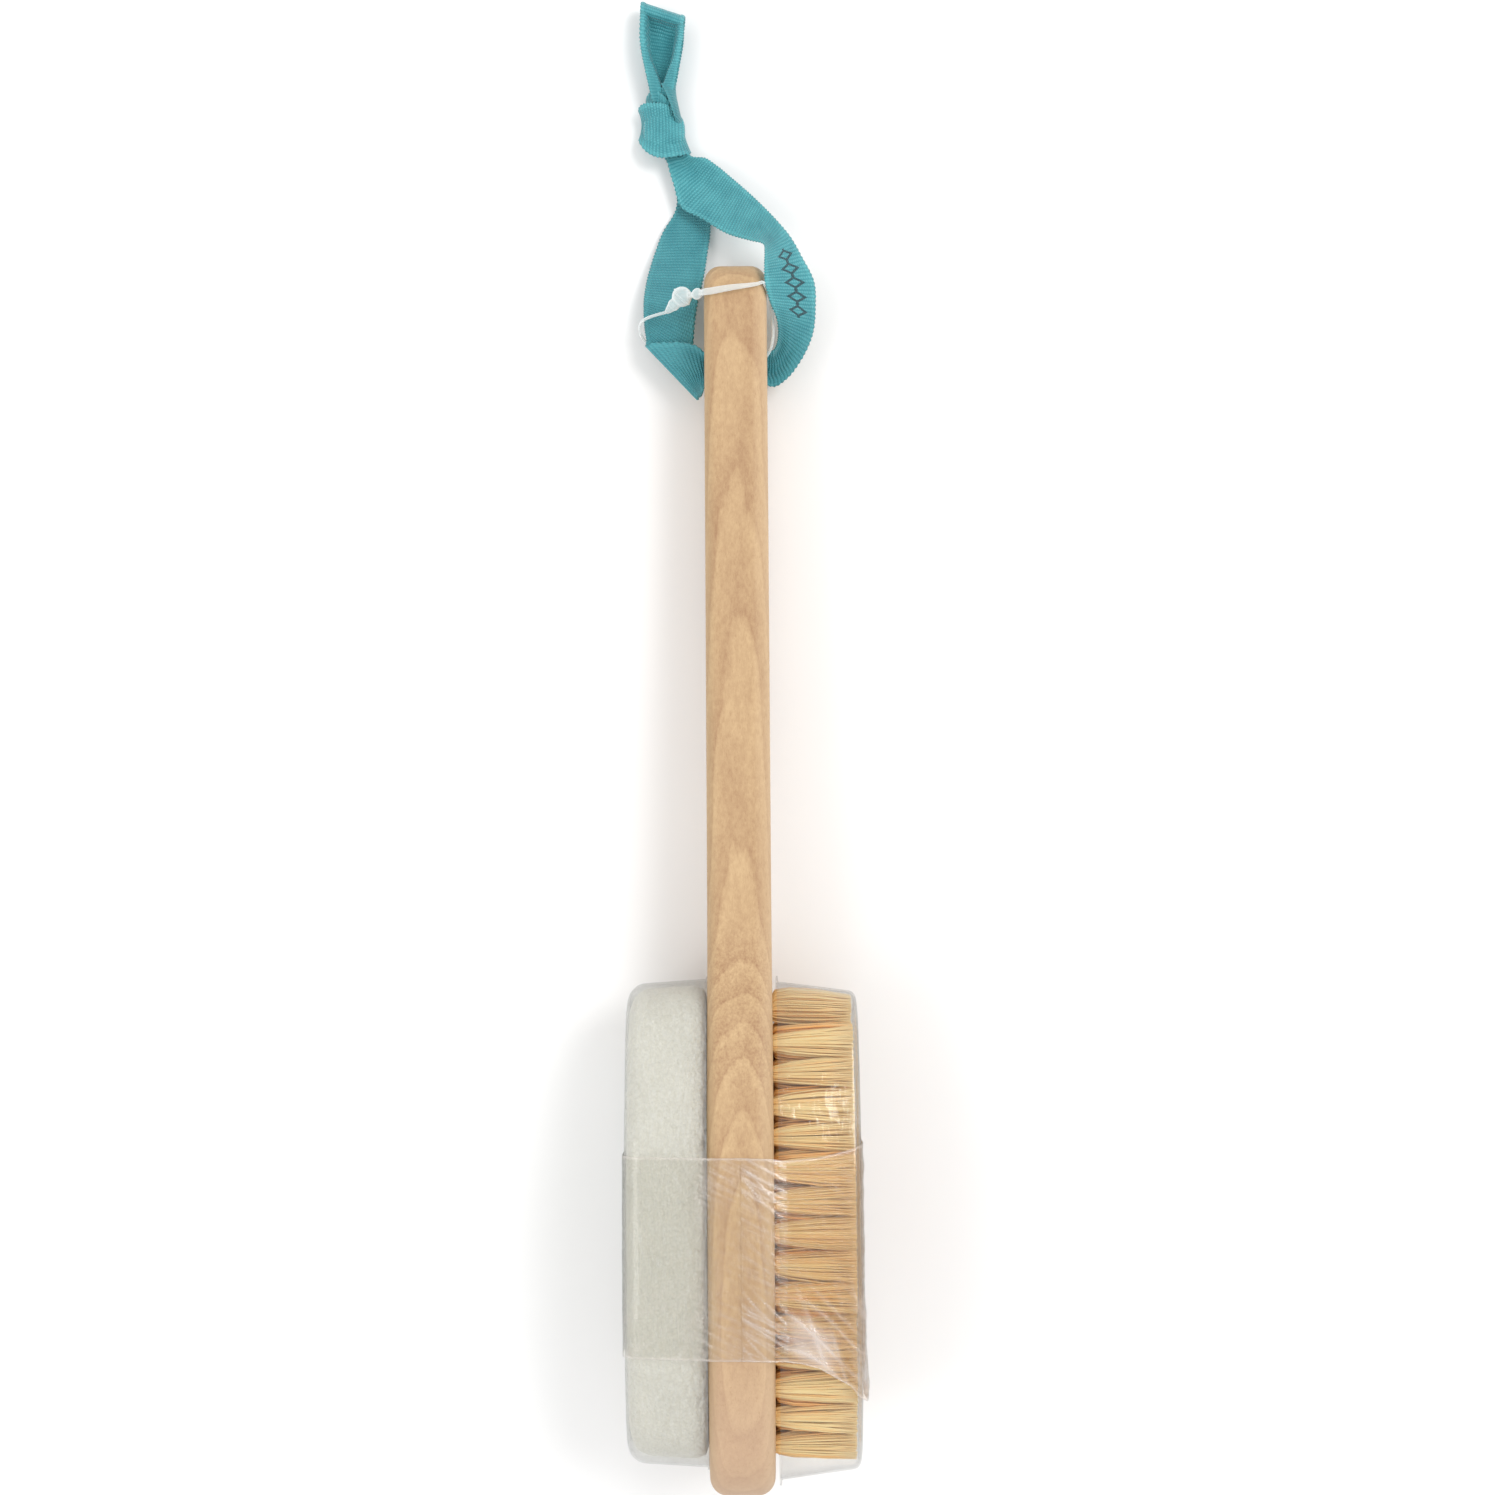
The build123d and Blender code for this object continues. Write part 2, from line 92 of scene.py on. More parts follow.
# ---- materials -----------------------------------------------------------------------
class Paint:
    """One material and its nodes."""

    def __init__(self, name):
        self.material = bpy.data.materials.new(name)
        self.material.use_nodes = True
        self.tree = self.material.node_tree
        self.tree.nodes.clear()

    def node(self, kind, inputs=None, **settings):
        made = self.tree.nodes.new(kind)
        for key, value in settings.items():
            setattr(made, key, value)
        for key, value in (inputs or {}).items():
            if isinstance(value, bpy.types.NodeSocket):
                self.tree.links.new(value, made.inputs[key])
            else:
                made.inputs[key].default_value = value
        return made

    def calc(self, operation, *values):
        return self.node("ShaderNodeMath", dict(enumerate(values)), operation=operation).outputs[0]

    def plus(self, a, b):
        return self.calc("ADD", a, b)

    def minus(self, a, b):
        return self.calc("SUBTRACT", a, b)

    def times(self, a, b):
        return self.calc("MULTIPLY", a, b)

    def line(self, value, slope, start):
        """slope * value + start"""
        return self.calc("MULTIPLY_ADD", value, slope, start)

    def away(self, a, b):
        """The length of the hypotenuse over a and b."""
        return self.calc("SQRT", self.plus(self.times(a, a), self.times(b, b)))

    def split(self, vector):
        return self.node("ShaderNodeSeparateXYZ", {0: vector}).outputs

    def mix(self, factor, a, b, blend="MIX"):
        inputs = {0: factor, 6: a, 7: b}
        return self.node("ShaderNodeMix", inputs, data_type="RGBA", blend_type=blend).outputs[2]

    def blend(self, factor, a, b):
        """Two surfaces, mixed."""
        return self.node("ShaderNodeMixShader", {0: factor, 1: a, 2: b}).outputs[0]

    def noise(self, vector, scale, detail=3.0, rough=0.55):
        inputs = {"Vector": vector, "Scale": scale, "Detail": detail, "Roughness": rough}
        return self.node("ShaderNodeTexNoise", inputs).outputs[0]

    def grain(self, place, pace, detail=3.0, rough=0.55):
        """Noise with its own pace along x, y and z."""
        paced = self.node("ShaderNodeVectorMath", {0: place, 1: pace}, operation="MULTIPLY").outputs[0]
        return self.noise(paced, 1.0, detail, rough)

    def spots(self, place, scale):
        """Distance to the nearest of scattered points."""
        inputs = {"Vector": place, "Scale": scale}
        return self.node("ShaderNodeTexVoronoi", inputs, feature="F1").outputs["Distance"]

    def facing(self, blend):
        """0 where the surface faces the eye, 1 where it is seen edge on."""
        return self.node("ShaderNodeLayerWeight", {"Blend": blend}).outputs["Facing"]

    def ramp(self, factor, stops):
        made = self.node("ShaderNodeValToRGB", {0: factor})
        while len(made.color_ramp.elements) < len(stops):
            made.color_ramp.elements.new(1.0)
        for element, (place, value) in zip(made.color_ramp.elements, stops):
            element.position = place
            element.color = (value, value, value, 1.0) if isinstance(value, float) else value
        return made.outputs[0]

    def span(self, value, low, high, to_low=0.0, to_high=1.0):
        inputs = {0: value, 1: low, 2: high, 3: to_low, 4: to_high}
        return self.node("ShaderNodeMapRange", inputs, interpolation_type="SMOOTHSTEP").outputs[0]

    def attribute(self, name):
        return self.node("ShaderNodeAttribute", attribute_name=name).outputs["Fac"]

    def bump(self, height, strength, distance):
        inputs = {"Height": height, "Strength": strength, "Distance": distance}
        return self.node("ShaderNodeBump", inputs).outputs[0]

    def gloss(self, normal, straight):
        """The share of light that a thin clear sheet reflects: straight on, growing to all."""
        aside = self.node("ShaderNodeLayerWeight", {"Blend": 0.5, "Normal": normal}).outputs["Facing"]
        return self.line(self.calc("POWER", aside, 5.0), 1.0 - straight, straight)

    def here(self):
        """The piece's own coordinates in millimetres."""
        place = self.node("ShaderNodeTexCoord").outputs["Object"]
        return self.node("ShaderNodeMapping", {0: place, 3: (1 / MM,) * 3}).outputs[0]

    def board(self):
        """Coordinates on the board in millimetres."""
        place = self.node("ShaderNodeTexCoord").outputs["Object"]
        inputs = {0: place, 1: tuple(MIDDLE * MM), 2: (-SLOPE, 0.0, 0.0), 3: (MM,) * 3}
        return self.node("ShaderNodeMapping", inputs, vector_type="TEXTURE").outputs[0]

    def solid(self, colour, roughness, normal=None, **more):
        inputs = {"Base Color": colour, "Roughness": roughness, **more}
        if normal is not None:
            inputs["Normal"] = normal
        return self.node("ShaderNodeBsdfPrincipled", inputs).outputs[0]

    def done(self, surface):
        out = self.node("ShaderNodeOutputMaterial")
        self.tree.links.new(surface, out.inputs["Surface"])
        return self.material


def srgb(red, green, blue):
    """A colour as the eye reads it, 0 to 255, as the linear colour that nodes take."""
    line = [c / 255 for c in (red, green, blue)]
    return (*[c / 12.92 if c < 0.04045 else ((c + 0.055) / 1.055) ** 2.4 for c in line], 1.0)


PITH_ASIDE, PITH_HEIGHT, PITH_CLIMB = 0.8, 66.0, 0.105
RING_SQUEEZE, RING_WIDTH = 2.3, 5.0


def wood():
    paint = Paint("beech_wood")
    place = paint.board()
    x, y, z = paint.split(place)
    # Growth rings round a pith that lies above the board's edge and climbs along it.
    wander = paint.grain(place, (0.05, 0.012, 0.03), 2.0)
    drift = paint.grain(place, (0.35, 0.06, 0.2))
    depth = paint.minus(paint.line(y, PITH_CLIMB, PITH_HEIGHT), z)
    side = paint.times(paint.minus(x, PITH_ASIDE), RING_SQUEEZE)
    reach = paint.away(depth, side)
    reach = paint.plus(reach, paint.times(wander, 9.0))
    reach = paint.plus(reach, paint.times(drift, 1.6))
    ring = paint.calc("FRACT", paint.calc("DIVIDE", reach, RING_WIDTH))
    shades = [(0.0, 0.34), (0.12, 0.46), (0.5, 0.58), (0.84, 0.78), (0.95, 0.6), (1.0, 0.34)]
    tone = paint.ramp(ring, shades)
    cloud = paint.grain(place, (0.12, 0.03, 0.12))
    tone = paint.plus(tone, paint.line(cloud, 0.9, -0.45))
    mottle = paint.grain(place, (0.9, 0.45, 0.9), 4.0, 0.65)
    tone = paint.plus(tone, paint.line(mottle, 1.1, -0.55))
    # A burr where the neck meets the head: mottled, short-grained.
    burr = paint.times(paint.span(y, 30.0, 52.0), paint.span(y, 100.0, 74.0))
    spots = paint.grain(place, (1.5, 1.2, 1.5), 4.0, 0.65)
    tone = paint.plus(tone, paint.times(burr, paint.line(spots, 1.5, -0.8)))
    warm = paint.mix(tone, srgb(160, 123, 90), srgb(200, 169, 128))
    lower = paint.span(y, 0.0, -70.0, 0.0, 0.55)
    warm = paint.mix(lower, warm, srgb(197, 168, 145))
    # Painted light and shade: the edge nearer the bristles is painted paler, as if lit, and the other a
    # little greyer, as if in shade.
    warm = paint.mix(paint.span(x, 4.5, 9.5, 0.0, 0.4), warm, srgb(216, 188, 153))
    warm = paint.mix(paint.span(x, -6.0, -9.5, 0.0, 0.4), warm, srgb(170, 145, 108))
    # Pores: short fine dashes along the grain.
    pores = paint.grain(place, (4.2, 0.55, 4.2), 2.0, 0.6)
    dash = paint.span(pores, 0.56, 0.7)
    fleck = paint.grain(place, (9.0, 2.2, 9.0), 2.0)
    warm = paint.mix(paint.times(dash, 0.30), warm, srgb(150, 110, 74))
    warm = paint.mix(paint.span(fleck, 0.5, 0.72, 0.0, 0.16), warm, srgb(228, 200, 162))
    knots = paint.spots(place, 0.021)
    warm = paint.mix(paint.span(knots, 0.035, 0.012, 0.0, 0.55), warm, srgb(134, 96, 62))
    relief = paint.plus(paint.times(dash, -0.5), paint.times(fleck, 0.5))
    relief = paint.plus(relief, paint.times(spots, 0.25))
    normal = paint.bump(relief, 0.22, 0.0002)
    rough = paint.line(pores, 0.2, 0.46)
    return paint.done(paint.solid(warm, rough, normal, **{"Specular IOR Level": 0.35}))


def bristle_paint():
    paint = Paint("natural_bristle")
    # The tint attribute gives each fibre's tone: random, and lower on the inner tufts as painted shade.
    tint = paint.attribute("tint")
    x = paint.split(paint.board())[0]
    streak = paint.grain(paint.board(), (0.25, 3.0, 3.0), 2.0)
    shade = paint.plus(tint, paint.line(streak, 0.5, -0.2))
    fibre = paint.mix(shade, srgb(255, 192, 104), srgb(255, 235, 176))
    # Paler towards the tips, and darker and more orange by the board: painted shade at the roots.
    fibre = paint.mix(paint.span(x, 24.0, 33.0, 0.0, 0.7), fibre, srgb(254, 228, 176))
    fibre = paint.mix(paint.span(x, 14.0, 9.0, 0.0, 0.3), fibre, srgb(250, 186, 108))
    body = paint.solid(fibre, paint.line(tint, 0.15, 0.36), **{"Specular IOR Level": 0.4})
    glow = paint.mix(0.35, fibre, srgb(255, 214, 140))
    lit = paint.node("ShaderNodeBsdfTranslucent", {0: glow}).outputs[0]
    return paint.done(paint.blend(0.2, body, lit))


def clear_plastic(name, tint, haze, rough):
    """Clear sheet: seen through, with a gloss that grows to the edges and a trace of haze."""
    paint = Paint(name)
    here = paint.here()
    faint = paint.grain(here, (0.08, 0.05, 0.08))
    fine = paint.grain(here, (1.5, 0.3, 1.5), 2.0)
    normal = paint.bump(paint.plus(faint, paint.times(fine, 0.06)), 0.5, 0.0012)
    shine = paint.gloss(normal, 0.022)
    facing = paint.facing(0.35)
    deep = paint.ramp(facing, [(0.0, 0.99), (0.7, 0.955), (0.92, 0.82), (1.0, 0.6)])
    deep = paint.mix(1.0, deep, tint, "MULTIPLY")
    through = paint.node("ShaderNodeBsdfTransparent", {0: deep}).outputs[0]
    milk = paint.node("ShaderNodeBsdfDiffuse", {0: (0.86, 0.87, 0.86, 1.0)}).outputs[0]
    veil = paint.times(paint.span(fine, 0.35, 0.75, 0.6, 1.6), haze)
    body = paint.blend(veil, through, milk)
    gloss = paint.node("ShaderNodeBsdfGlossy", {"Roughness": rough, "Normal": normal}).outputs[0]
    return paint.done(paint.blend(shine, body, gloss))


def film_paint():
    paint = Paint("shrink_film_plastic")
    here = paint.board()
    haze = paint.attribute("haze")
    fine = paint.grain(here, (1.2, 2.2, 1.2), 3.0, 0.6)
    normal = paint.bump(fine, 0.35, 0.0006)
    plain = paint.gloss(normal, 0.022)
    facing = paint.facing(0.3)
    deep = paint.ramp(facing, [(0.0, 0.995), (0.85, 0.98), (1.0, 0.86)])
    # Its tint differs a little over the wood, the bristles and the pad.
    x = paint.split(here)[0]
    on_bristles = paint.span(x, 11.5, 14.0)
    on_pad = paint.span(x, -9.5, -11.0)
    tint = paint.mix(on_bristles, (1.0, 1.0, 0.985, 1.0), (0.978, 0.942, 0.9, 1.0))
    tint = paint.mix(on_pad, tint, (0.975, 0.975, 0.966, 1.0))
    deep = paint.mix(1.0, deep, tint, "MULTIPLY")
    through = paint.node("ShaderNodeBsdfTransparent", {0: deep}).outputs[0]
    milk = paint.node("ShaderNodeBsdfDiffuse", {0: srgb(252, 236, 226)}).outputs[0]
    # The haze attribute paints highlights onto the film as a milky white and raises its gloss; the noise
    # adds a faint milkiness.
    veil = paint.line(haze, 0.42, paint.span(fine, 0.4, 0.8, 0.0, 0.04))
    body = paint.blend(veil, through, milk)
    gloss = paint.node("ShaderNodeBsdfGlossy", {"Roughness": 0.1, "Normal": normal}).outputs[0]
    shine = paint.calc("MINIMUM", paint.line(haze, 0.3, plain), 1.0)
    return paint.done(paint.blend(shine, body, gloss))


def ribbon_paint(name, motifs=(), painted_shade=0.0):
    """Woven ribbon. Its UV is in millimetres: across from 0 to 16, and along. Each motif is
    (where along it starts, where it ends, how far across its middle is)."""
    paint = Paint(name)
    uv = paint.node("ShaderNodeUVMap", uv_map="millimetres").outputs[0]
    across, along, _ = paint.split(uv)
    wobble = paint.noise(uv, 0.35, 2.0)
    # Ribs a millimetre apart, over warp threads that shift by half a thread from rib to rib.
    thread = paint.line(wobble, 0.5, along)
    rib = paint.calc("ABSOLUTE", paint.calc("SINE", paint.times(thread, math.pi)))
    offset = paint.times(paint.calc("FLOOR", thread), math.pi / 2)
    warp = paint.calc("SINE", paint.line(across, math.pi / 0.8, offset))
    warp = paint.times(warp, warp)
    weave = paint.times(rib, paint.line(warp, 0.6, 0.4))
    border = paint.plus(paint.span(across, 1.5, 1.1), paint.span(across, 14.5, 14.9))
    patch = paint.noise(uv, 0.16)
    tone = paint.plus(paint.times(weave, 0.55), paint.line(patch, 0.9, -0.32))
    tone = paint.plus(tone, paint.times(border, 0.22))
    cloth = paint.mix(tone, srgb(42, 129, 140), srgb(96, 185, 191))
    # Painted shade: past the bend to the hole the ribbon is painted darker, where that strand faces away
    # from the light.
    cloth = paint.mix(paint.span(along, 66.0, 84.0, 0.0, 0.4 * painted_shade), cloth, srgb(40, 118, 130))
    for start, end, middle in motifs:
        # A plain printed row: open diamonds with small dots between them.
        step = 4.2
        cell = paint.calc("FRACT", paint.calc("DIVIDE", paint.minus(along, start), step))
        local = paint.calc("ABSOLUTE", paint.times(paint.minus(cell, 0.5), step))
        over = paint.calc("ABSOLUTE", paint.minus(across, middle))
        diamond = paint.plus(local, paint.times(over, 0.52))
        line = paint.span(paint.calc("ABSOLUTE", paint.minus(diamond, 1.45)), 0.5, 0.3)
        between = paint.minus(step / 2, local)
        dot = paint.away(between, over)
        ink = paint.calc("MAXIMUM", line, paint.span(dot, 0.7, 0.5))
        past, short = paint.calc("GREATER_THAN", along, start), paint.calc("LESS_THAN", along, end)
        ink = paint.times(paint.times(ink, paint.times(past, short)), 0.9)
        cloth = paint.mix(ink, cloth, srgb(22, 58, 66))
    height = paint.plus(weave, paint.times(patch, 0.3))
    normal = paint.bump(height, 0.8, 0.0004)
    rough = paint.line(weave, -0.18, 0.56)
    sheen = {"Sheen Weight": 0.25, "Sheen Roughness": 0.4, "Specular IOR Level": 0.5}
    return paint.done(paint.solid(cloth, rough, normal, **sheen))


def pad_paint():
    paint = Paint("terry_pad")
    here = paint.here()
    loops = paint.spots(here, 0.9)
    cloud = paint.grain(here, (0.06, 0.04, 0.06))
    fuzz = paint.grain(here, (2.5, 2.5, 2.5), 3.0, 0.7)
    tone = paint.plus(paint.times(loops, -0.55), paint.line(cloud, 0.9, 0.35))
    tone = paint.plus(tone, paint.times(fuzz, 0.3))
    cloth = paint.mix(tone, srgb(193, 190, 177), srgb(221, 218, 206))
    height = paint.plus(paint.times(loops, -1.0), paint.times(fuzz, 0.5))
    sheen = {"Sheen Weight": 0.4, "Sheen Roughness": 0.6, "Specular IOR Level": 0.15}
    return paint.done(paint.solid(cloth, 0.85, paint.bump(height, 0.5, 0.0008), **sheen))


def nylon():
    paint = Paint("tag_nylon")
    here = paint.here()
    cloud = paint.grain(here, (0.5, 0.5, 0.5))
    fine = paint.grain(here, (3.0, 3.0, 3.0), 2.0)
    colour = paint.mix(cloud, srgb(226, 236, 236), srgb(252, 253, 252))
    facing = paint.facing(0.4)
    normal = paint.bump(fine, 0.15, 0.0002)
    depth = {"Subsurface Weight": 0.3, "Subsurface Radius": (0.003,) * 3}
    body = paint.solid(colour, 0.28, normal, **depth)
    clear = paint.node("ShaderNodeBsdfTransparent", {0: (0.97, 0.98, 0.98, 1.0)}).outputs[0]
    amount = paint.span(facing, 0.05, 0.75, 0.36, 0.9)
    return paint.done(paint.blend(amount, clear, body))


def glue():
    paint = Paint("pad_glue")
    here = paint.here()
    cloud = paint.grain(here, (0.2, 0.2, 0.2))
    fine = paint.grain(here, (1.6, 1.6, 1.6))
    colour = paint.mix(cloud, srgb(222, 208, 170), srgb(236, 226, 196))
    normal = paint.bump(fine, 0.3, 0.0004)
    return paint.done(paint.solid(colour, paint.line(fine, 0.3, 0.3), normal))


def steel():
    paint = Paint("anchor_wire")
    here = paint.here()
    drawn = paint.grain(here, (6.0, 6.0, 0.8))
    colour = paint.mix(drawn, srgb(150, 150, 148), srgb(196, 196, 192))
    rough = paint.line(drawn, 0.25, 0.25)
    return paint.done(paint.solid(colour, rough, paint.bump(drawn, 0.2, 0.0001), Metallic=1.0))


def paint_node(node, material):
    """Gives a carried-over CAD node its finished material."""
    slots = frame["nodes"][node].data.materials
    if not len(slots):
        slots.append(material)
    for i in range(len(slots)):
        slots[i] = material


# ---- mesh helpers --------------------------------------------------------------------
def smooth(rows, step):
    """Rows of numbers taken about every step along a smooth curve through the rows given."""
    rows = np.array(rows, float)
    way = np.concatenate([[0.0], np.cumsum(np.linalg.norm(np.diff(rows, axis=0), axis=1))])
    slope = np.gradient(rows, way, axis=0)
    at = np.linspace(0.0, way[-1], max(2, int(way[-1] / step) + 1))
    i = np.clip(np.searchsorted(way, at, side="right") - 1, 0, len(way) - 2)
    span = (way[i + 1] - way[i])[:, None]
    x = (at - way[i])[:, None] / span
    return (
        (2 * x**3 - 3 * x**2 + 1) * rows[i] + (x**3 - 2 * x**2 + x) * span * slope[i]
        + (3 * x**2 - 2 * x**3) * rows[i + 1] + (x**3 - x**2) * span * slope[i + 1]
    )


def normals(grid):
    """The unit normal at each point of a grid of points."""
    normal = np.cross(np.gradient(grid, axis=0), np.gradient(grid, axis=1))
    return normal / np.maximum(np.linalg.norm(normal, axis=2, keepdims=True), 1e-9)


class Heap:
    """Points and faces gathered from several parts, made into one object."""

    def __init__(self):
        self.points, self.faces, self.uv, self.values, self.count = [], [], [], [], 0

    def add(self, points, faces, uv=None, value=None):
        self.points.append(points)
        self.faces.append(np.asarray(faces) + self.count)
        self.uv.append(np.zeros((len(points), 2)) if uv is None else uv)
        self.values.append(np.zeros(len(points)) if value is None else value)
        self.count += len(points)

    def slab(self, grid, thickness, uv=None, value=None):
        """A closed thin solid that lies half to each side of a grid of points."""
        n, m = grid.shape[:2]
        lift = normals(grid) * thickness / 2
        points = np.concatenate([(grid + lift).reshape(-1, 3), (grid - lift).reshape(-1, 3)])
        i, j = np.meshgrid(np.arange(n - 1), np.arange(m - 1), indexing="ij")
        a = (i * m + j).ravel()
        top = np.stack([a, a + m, a + m + 1, a + 1], axis=1)
        under = top[:, ::-1] + n * m
        rim = np.concatenate([
            np.arange(m), np.arange(2, n + 1) * m - 1, (n - 1) * m + np.arange(m - 2, -1, -1),
            np.arange(n - 2, 0, -1) * m,
        ])
        after = np.roll(rim, -1)
        wall = np.stack([rim, after, after + n * m, rim + n * m], axis=1)
        uv = None if uv is None else np.tile(uv.reshape(-1, 2), (2, 1))
        value = None if value is None else np.tile(value.ravel(), 2)
        self.add(points, np.concatenate([top, under, wall]), uv, value)

    def tube(self, path, radius, sides, flat=None):
        """A closed tube along a path; flat gives the radius square to the table, if less."""
        path = np.asarray(path, float)
        radius = np.broadcast_to(radius, len(path))
        flat = radius if flat is None else np.broadcast_to(flat, len(path))
        way = np.gradient(path, axis=0)
        way /= np.linalg.norm(way, axis=1, keepdims=True)
        aside = np.cross(way, np.array([0.05, 0.03, 1.0]))
        aside /= np.linalg.norm(aside, axis=1, keepdims=True)
        over = np.cross(aside, way)
        turn = np.linspace(0, 2 * math.pi, sides, endpoint=False)
        ring = (
            path[:, None] + aside[:, None] * np.cos(turn)[None, :, None] * radius[:, None, None]
            + over[:, None] * np.sin(turn)[None, :, None] * flat[:, None, None]
        )
        n = len(path)
        points = np.concatenate([ring.reshape(-1, 3), path[:1], path[-1:]])
        i, j = np.meshgrid(np.arange(n - 1), np.arange(sides), indexing="ij")
        a, b = (i * sides + j).ravel(), (i * sides + (j + 1) % sides).ravel()
        self.add(points, np.stack([a, b, b + sides, a + sides], axis=1))
        base = self.count - len(points)
        k = np.arange(sides)
        after = (k + 1) % sides
        first = np.stack([k, np.full(sides, n * sides), after], axis=1)
        end = (n - 1) * sides
        last = np.stack([end + k, end + after, np.full(sides, n * sides + 1)], axis=1)
        self.faces.append(np.concatenate([first, last]) + base)

    def make(self, name, material, place, body, value_name=None):
        """The gathered mesh as an object; place turns millimetres into the row frame."""
        points = place(np.concatenate(self.points))
        faces = [tuple(f) for part in self.faces for f in part.tolist()]
        mesh = bpy.data.meshes.new(name)
        mesh.from_pydata(points.tolist(), [], faces)
        layer = mesh.uv_layers.new(name="millimetres")
        corner = np.zeros(len(mesh.loops), np.int32)
        mesh.loops.foreach_get("vertex_index", corner)
        layer.data.foreach_set("uv", np.concatenate(self.uv)[corner].ravel().astype(np.float32))
        if value_name:
            field = mesh.attributes.new(value_name, "FLOAT", "POINT")
            field.data.foreach_set("value", np.concatenate(self.values).astype(np.float32))
        work = bmesh.new()
        work.from_mesh(mesh)
        bmesh.ops.recalc_face_normals(work, faces=work.faces)
        work.to_mesh(mesh)
        work.free()
        mesh.polygons.foreach_set("use_smooth", [True] * len(mesh.polygons))
        mesh.materials.append(material)
        made = bpy.data.objects.new(name, mesh)
        bpy.context.scene.collection.objects.link(made)
        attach(made, body)
        return made


# ---- tag pin: the cord and its lock --------------------------------------------------
TAG_ROUTE = [
    (8.6, 280.6, 26.4), (10.6, 277.6, 22.0), (11.2, 272.4, 18.0), (11.6, 265.6, 17.4),
    (9.8, 259.8, 17.2), (3.4, 256.6, 18.0), (-3.4, 251.8, 16.4), (-9.8, 252.4, 12.0),
    (-14.4, 254.0, 8.8), (-20.2, 258.8, 6.2), (-25.4, 264.8, 5.0), (-29.4, 268.4, 6.4),
    (-29.8, 271.2, 12.0), (-27.0, 272.6, 17.0), (-21.0, 273.4, 19.4),
]
STRAND_DIAMETER = 0.9

nylon_paint = nylon()
line = bpy.data.curves.new("tag_pin_strand", "CURVE")
line.dimensions = "3D"
spline = line.splines.new("NURBS")
spline.points.add(len(TAG_ROUTE) - 1)
for point, where in zip(spline.points, on_table(TAG_ROUTE)):
    point.co = (*where, 1.0)
spline.order_u = 3
spline.use_endpoint_u = True
line.resolution_u = 12
line.bevel_depth = STRAND_DIAMETER / 2 * MM
line.bevel_resolution = 4
line.use_fill_caps = True
line.materials.append(nylon_paint)
strand = bpy.data.objects.new("tag_pin_strand", line)
bpy.context.scene.collection.objects.link(strand)
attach(strand, "hang_ribbon")
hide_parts("tag_strand")

lock = Heap()
bulb = np.array([-16.2, 277.6, 21.6])
collar = np.array(TAG_ROUTE[-1])
stop = np.array([-11.0, 277.7, 25.4])
# The bulb is round with a moulding line about it, then a stepped neck that tapers to a collar.
# A profile gives the distance from the bulb's middle and the radius there.
axis = (collar - bulb) / np.linalg.norm(collar - bulb)
profile = smooth([
    (-3.05, 0.3), (-2.9, 1.0), (-2.4, 1.9), (-1.6, 2.6), (-0.7, 2.98), (-0.22, 3.06), (-0.14, 3.28),
    (0.14, 3.28), (0.22, 3.06), (0.8, 2.95), (1.6, 2.55), (2.2, 2.05), (2.7, 1.75), (3.4, 1.85),
    (4.1, 1.75), (4.7, 1.4), (5.4, 1.2), (6.0, 0.95), (6.75, 0.7),
], 0.12)
lock.tube(bulb + profile[:, :1] * axis, profile[:, 1], sides=32)
# A small oval stop, and the flat blade that tapers away into the strand.
stop_axis = (stop - bulb) / np.linalg.norm(stop - bulb)
profile = smooth([
    (2.4, 1.1), (3.3, 0.85), (4.1, 0.9), (4.9, 1.5), (5.8, 1.75), (6.7, 1.5), (7.4, 0.9),
], 0.15)
lock.tube(bulb + profile[:, :1] * stop_axis, profile[:, 1], sides=24, flat=profile[:, 1] * 0.75)
blade = smooth([
    (*(bulb + 6.9 * stop_axis), 0.9, 0.6), (-9.4, 277.8, 27.1, 1.0, 0.5),
    (-7.0, 277.9, 28.2, 1.05, 0.45), (-3.6, 278.2, 29.5, 0.98, 0.42),
    (0.0, 278.7, 29.7, 0.85, 0.4), (3.4, 279.2, 29.2, 0.7, 0.42), (6.4, 279.9, 27.9, 0.55, 0.45),
    (8.6, 280.6, 26.4, 0.48, 0.45), (8.95, 280.1, 25.66, 0.45, 0.45),
], 0.3)
lock.tube(blade[:, :3], blade[:, 3], sides=16, flat=blade[:, 4])
lock_piece = lock.make("tag_pin_lock", nylon_paint, on_table, "hang_ribbon")
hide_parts("tag_lock")


# ---- wood, and the parts that stay as the CAD has them -------------------------------
paint_node("board", wood())
paint_node("tuft_anchors", steel())
paint_node("pad_adhesive", glue())
for node, name, tint, haze, rough in (
    ("bristle_cover", "clear_cover_bristles", (0.985, 0.985, 0.98, 1.0), 0.015, 0.04),
    ("pad_cover", "clear_cover_pad", (0.975, 0.975, 0.965, 1.0), 0.12, 0.05),
):
    paint_node(node, clear_plastic(name, tint, haze, rough))


def oval_half_width(y, half_length, half_width):
    """Half the width, at y, of the four-arc oval that the head and its covers share."""
    end = END_ROUNDNESS * half_width
    side = (half_length**2 + half_width**2 - 2 * half_length * end) / (2 * (half_width - end))
    meet = side * (half_length - end) / (side - end)
    y = np.minimum(np.abs(y), half_length - 1e-6)
    near = np.sqrt(np.maximum(side**2 - y**2, 0)) - side + half_width
    far = np.sqrt(np.maximum(end**2 - (y - half_length + end) ** 2, 0))
    return np.where(y > meet, far, near)


# ---- bristles ------------------------------------------------------------------------
TUFT_PITCH = 7.8
TUFT_TIP = 6.8
ROW_PITCH = 8.85
FACE = HALF_BOARD + 23.6
COVER_CENTRE = -1.3
COVER_CROWN = (68.3, 27.9)
FIBRES = 185
FIBRE_RADIUS = (0.25, 0.35)
ROOT_RADIUS = 1.85
ROOT_DEPTH = 1.5
ARCH_ASIDE, ARCH_UP = 9.0, 4.5
END_ROW = 60.0  # only the row nearest the handle lies past this


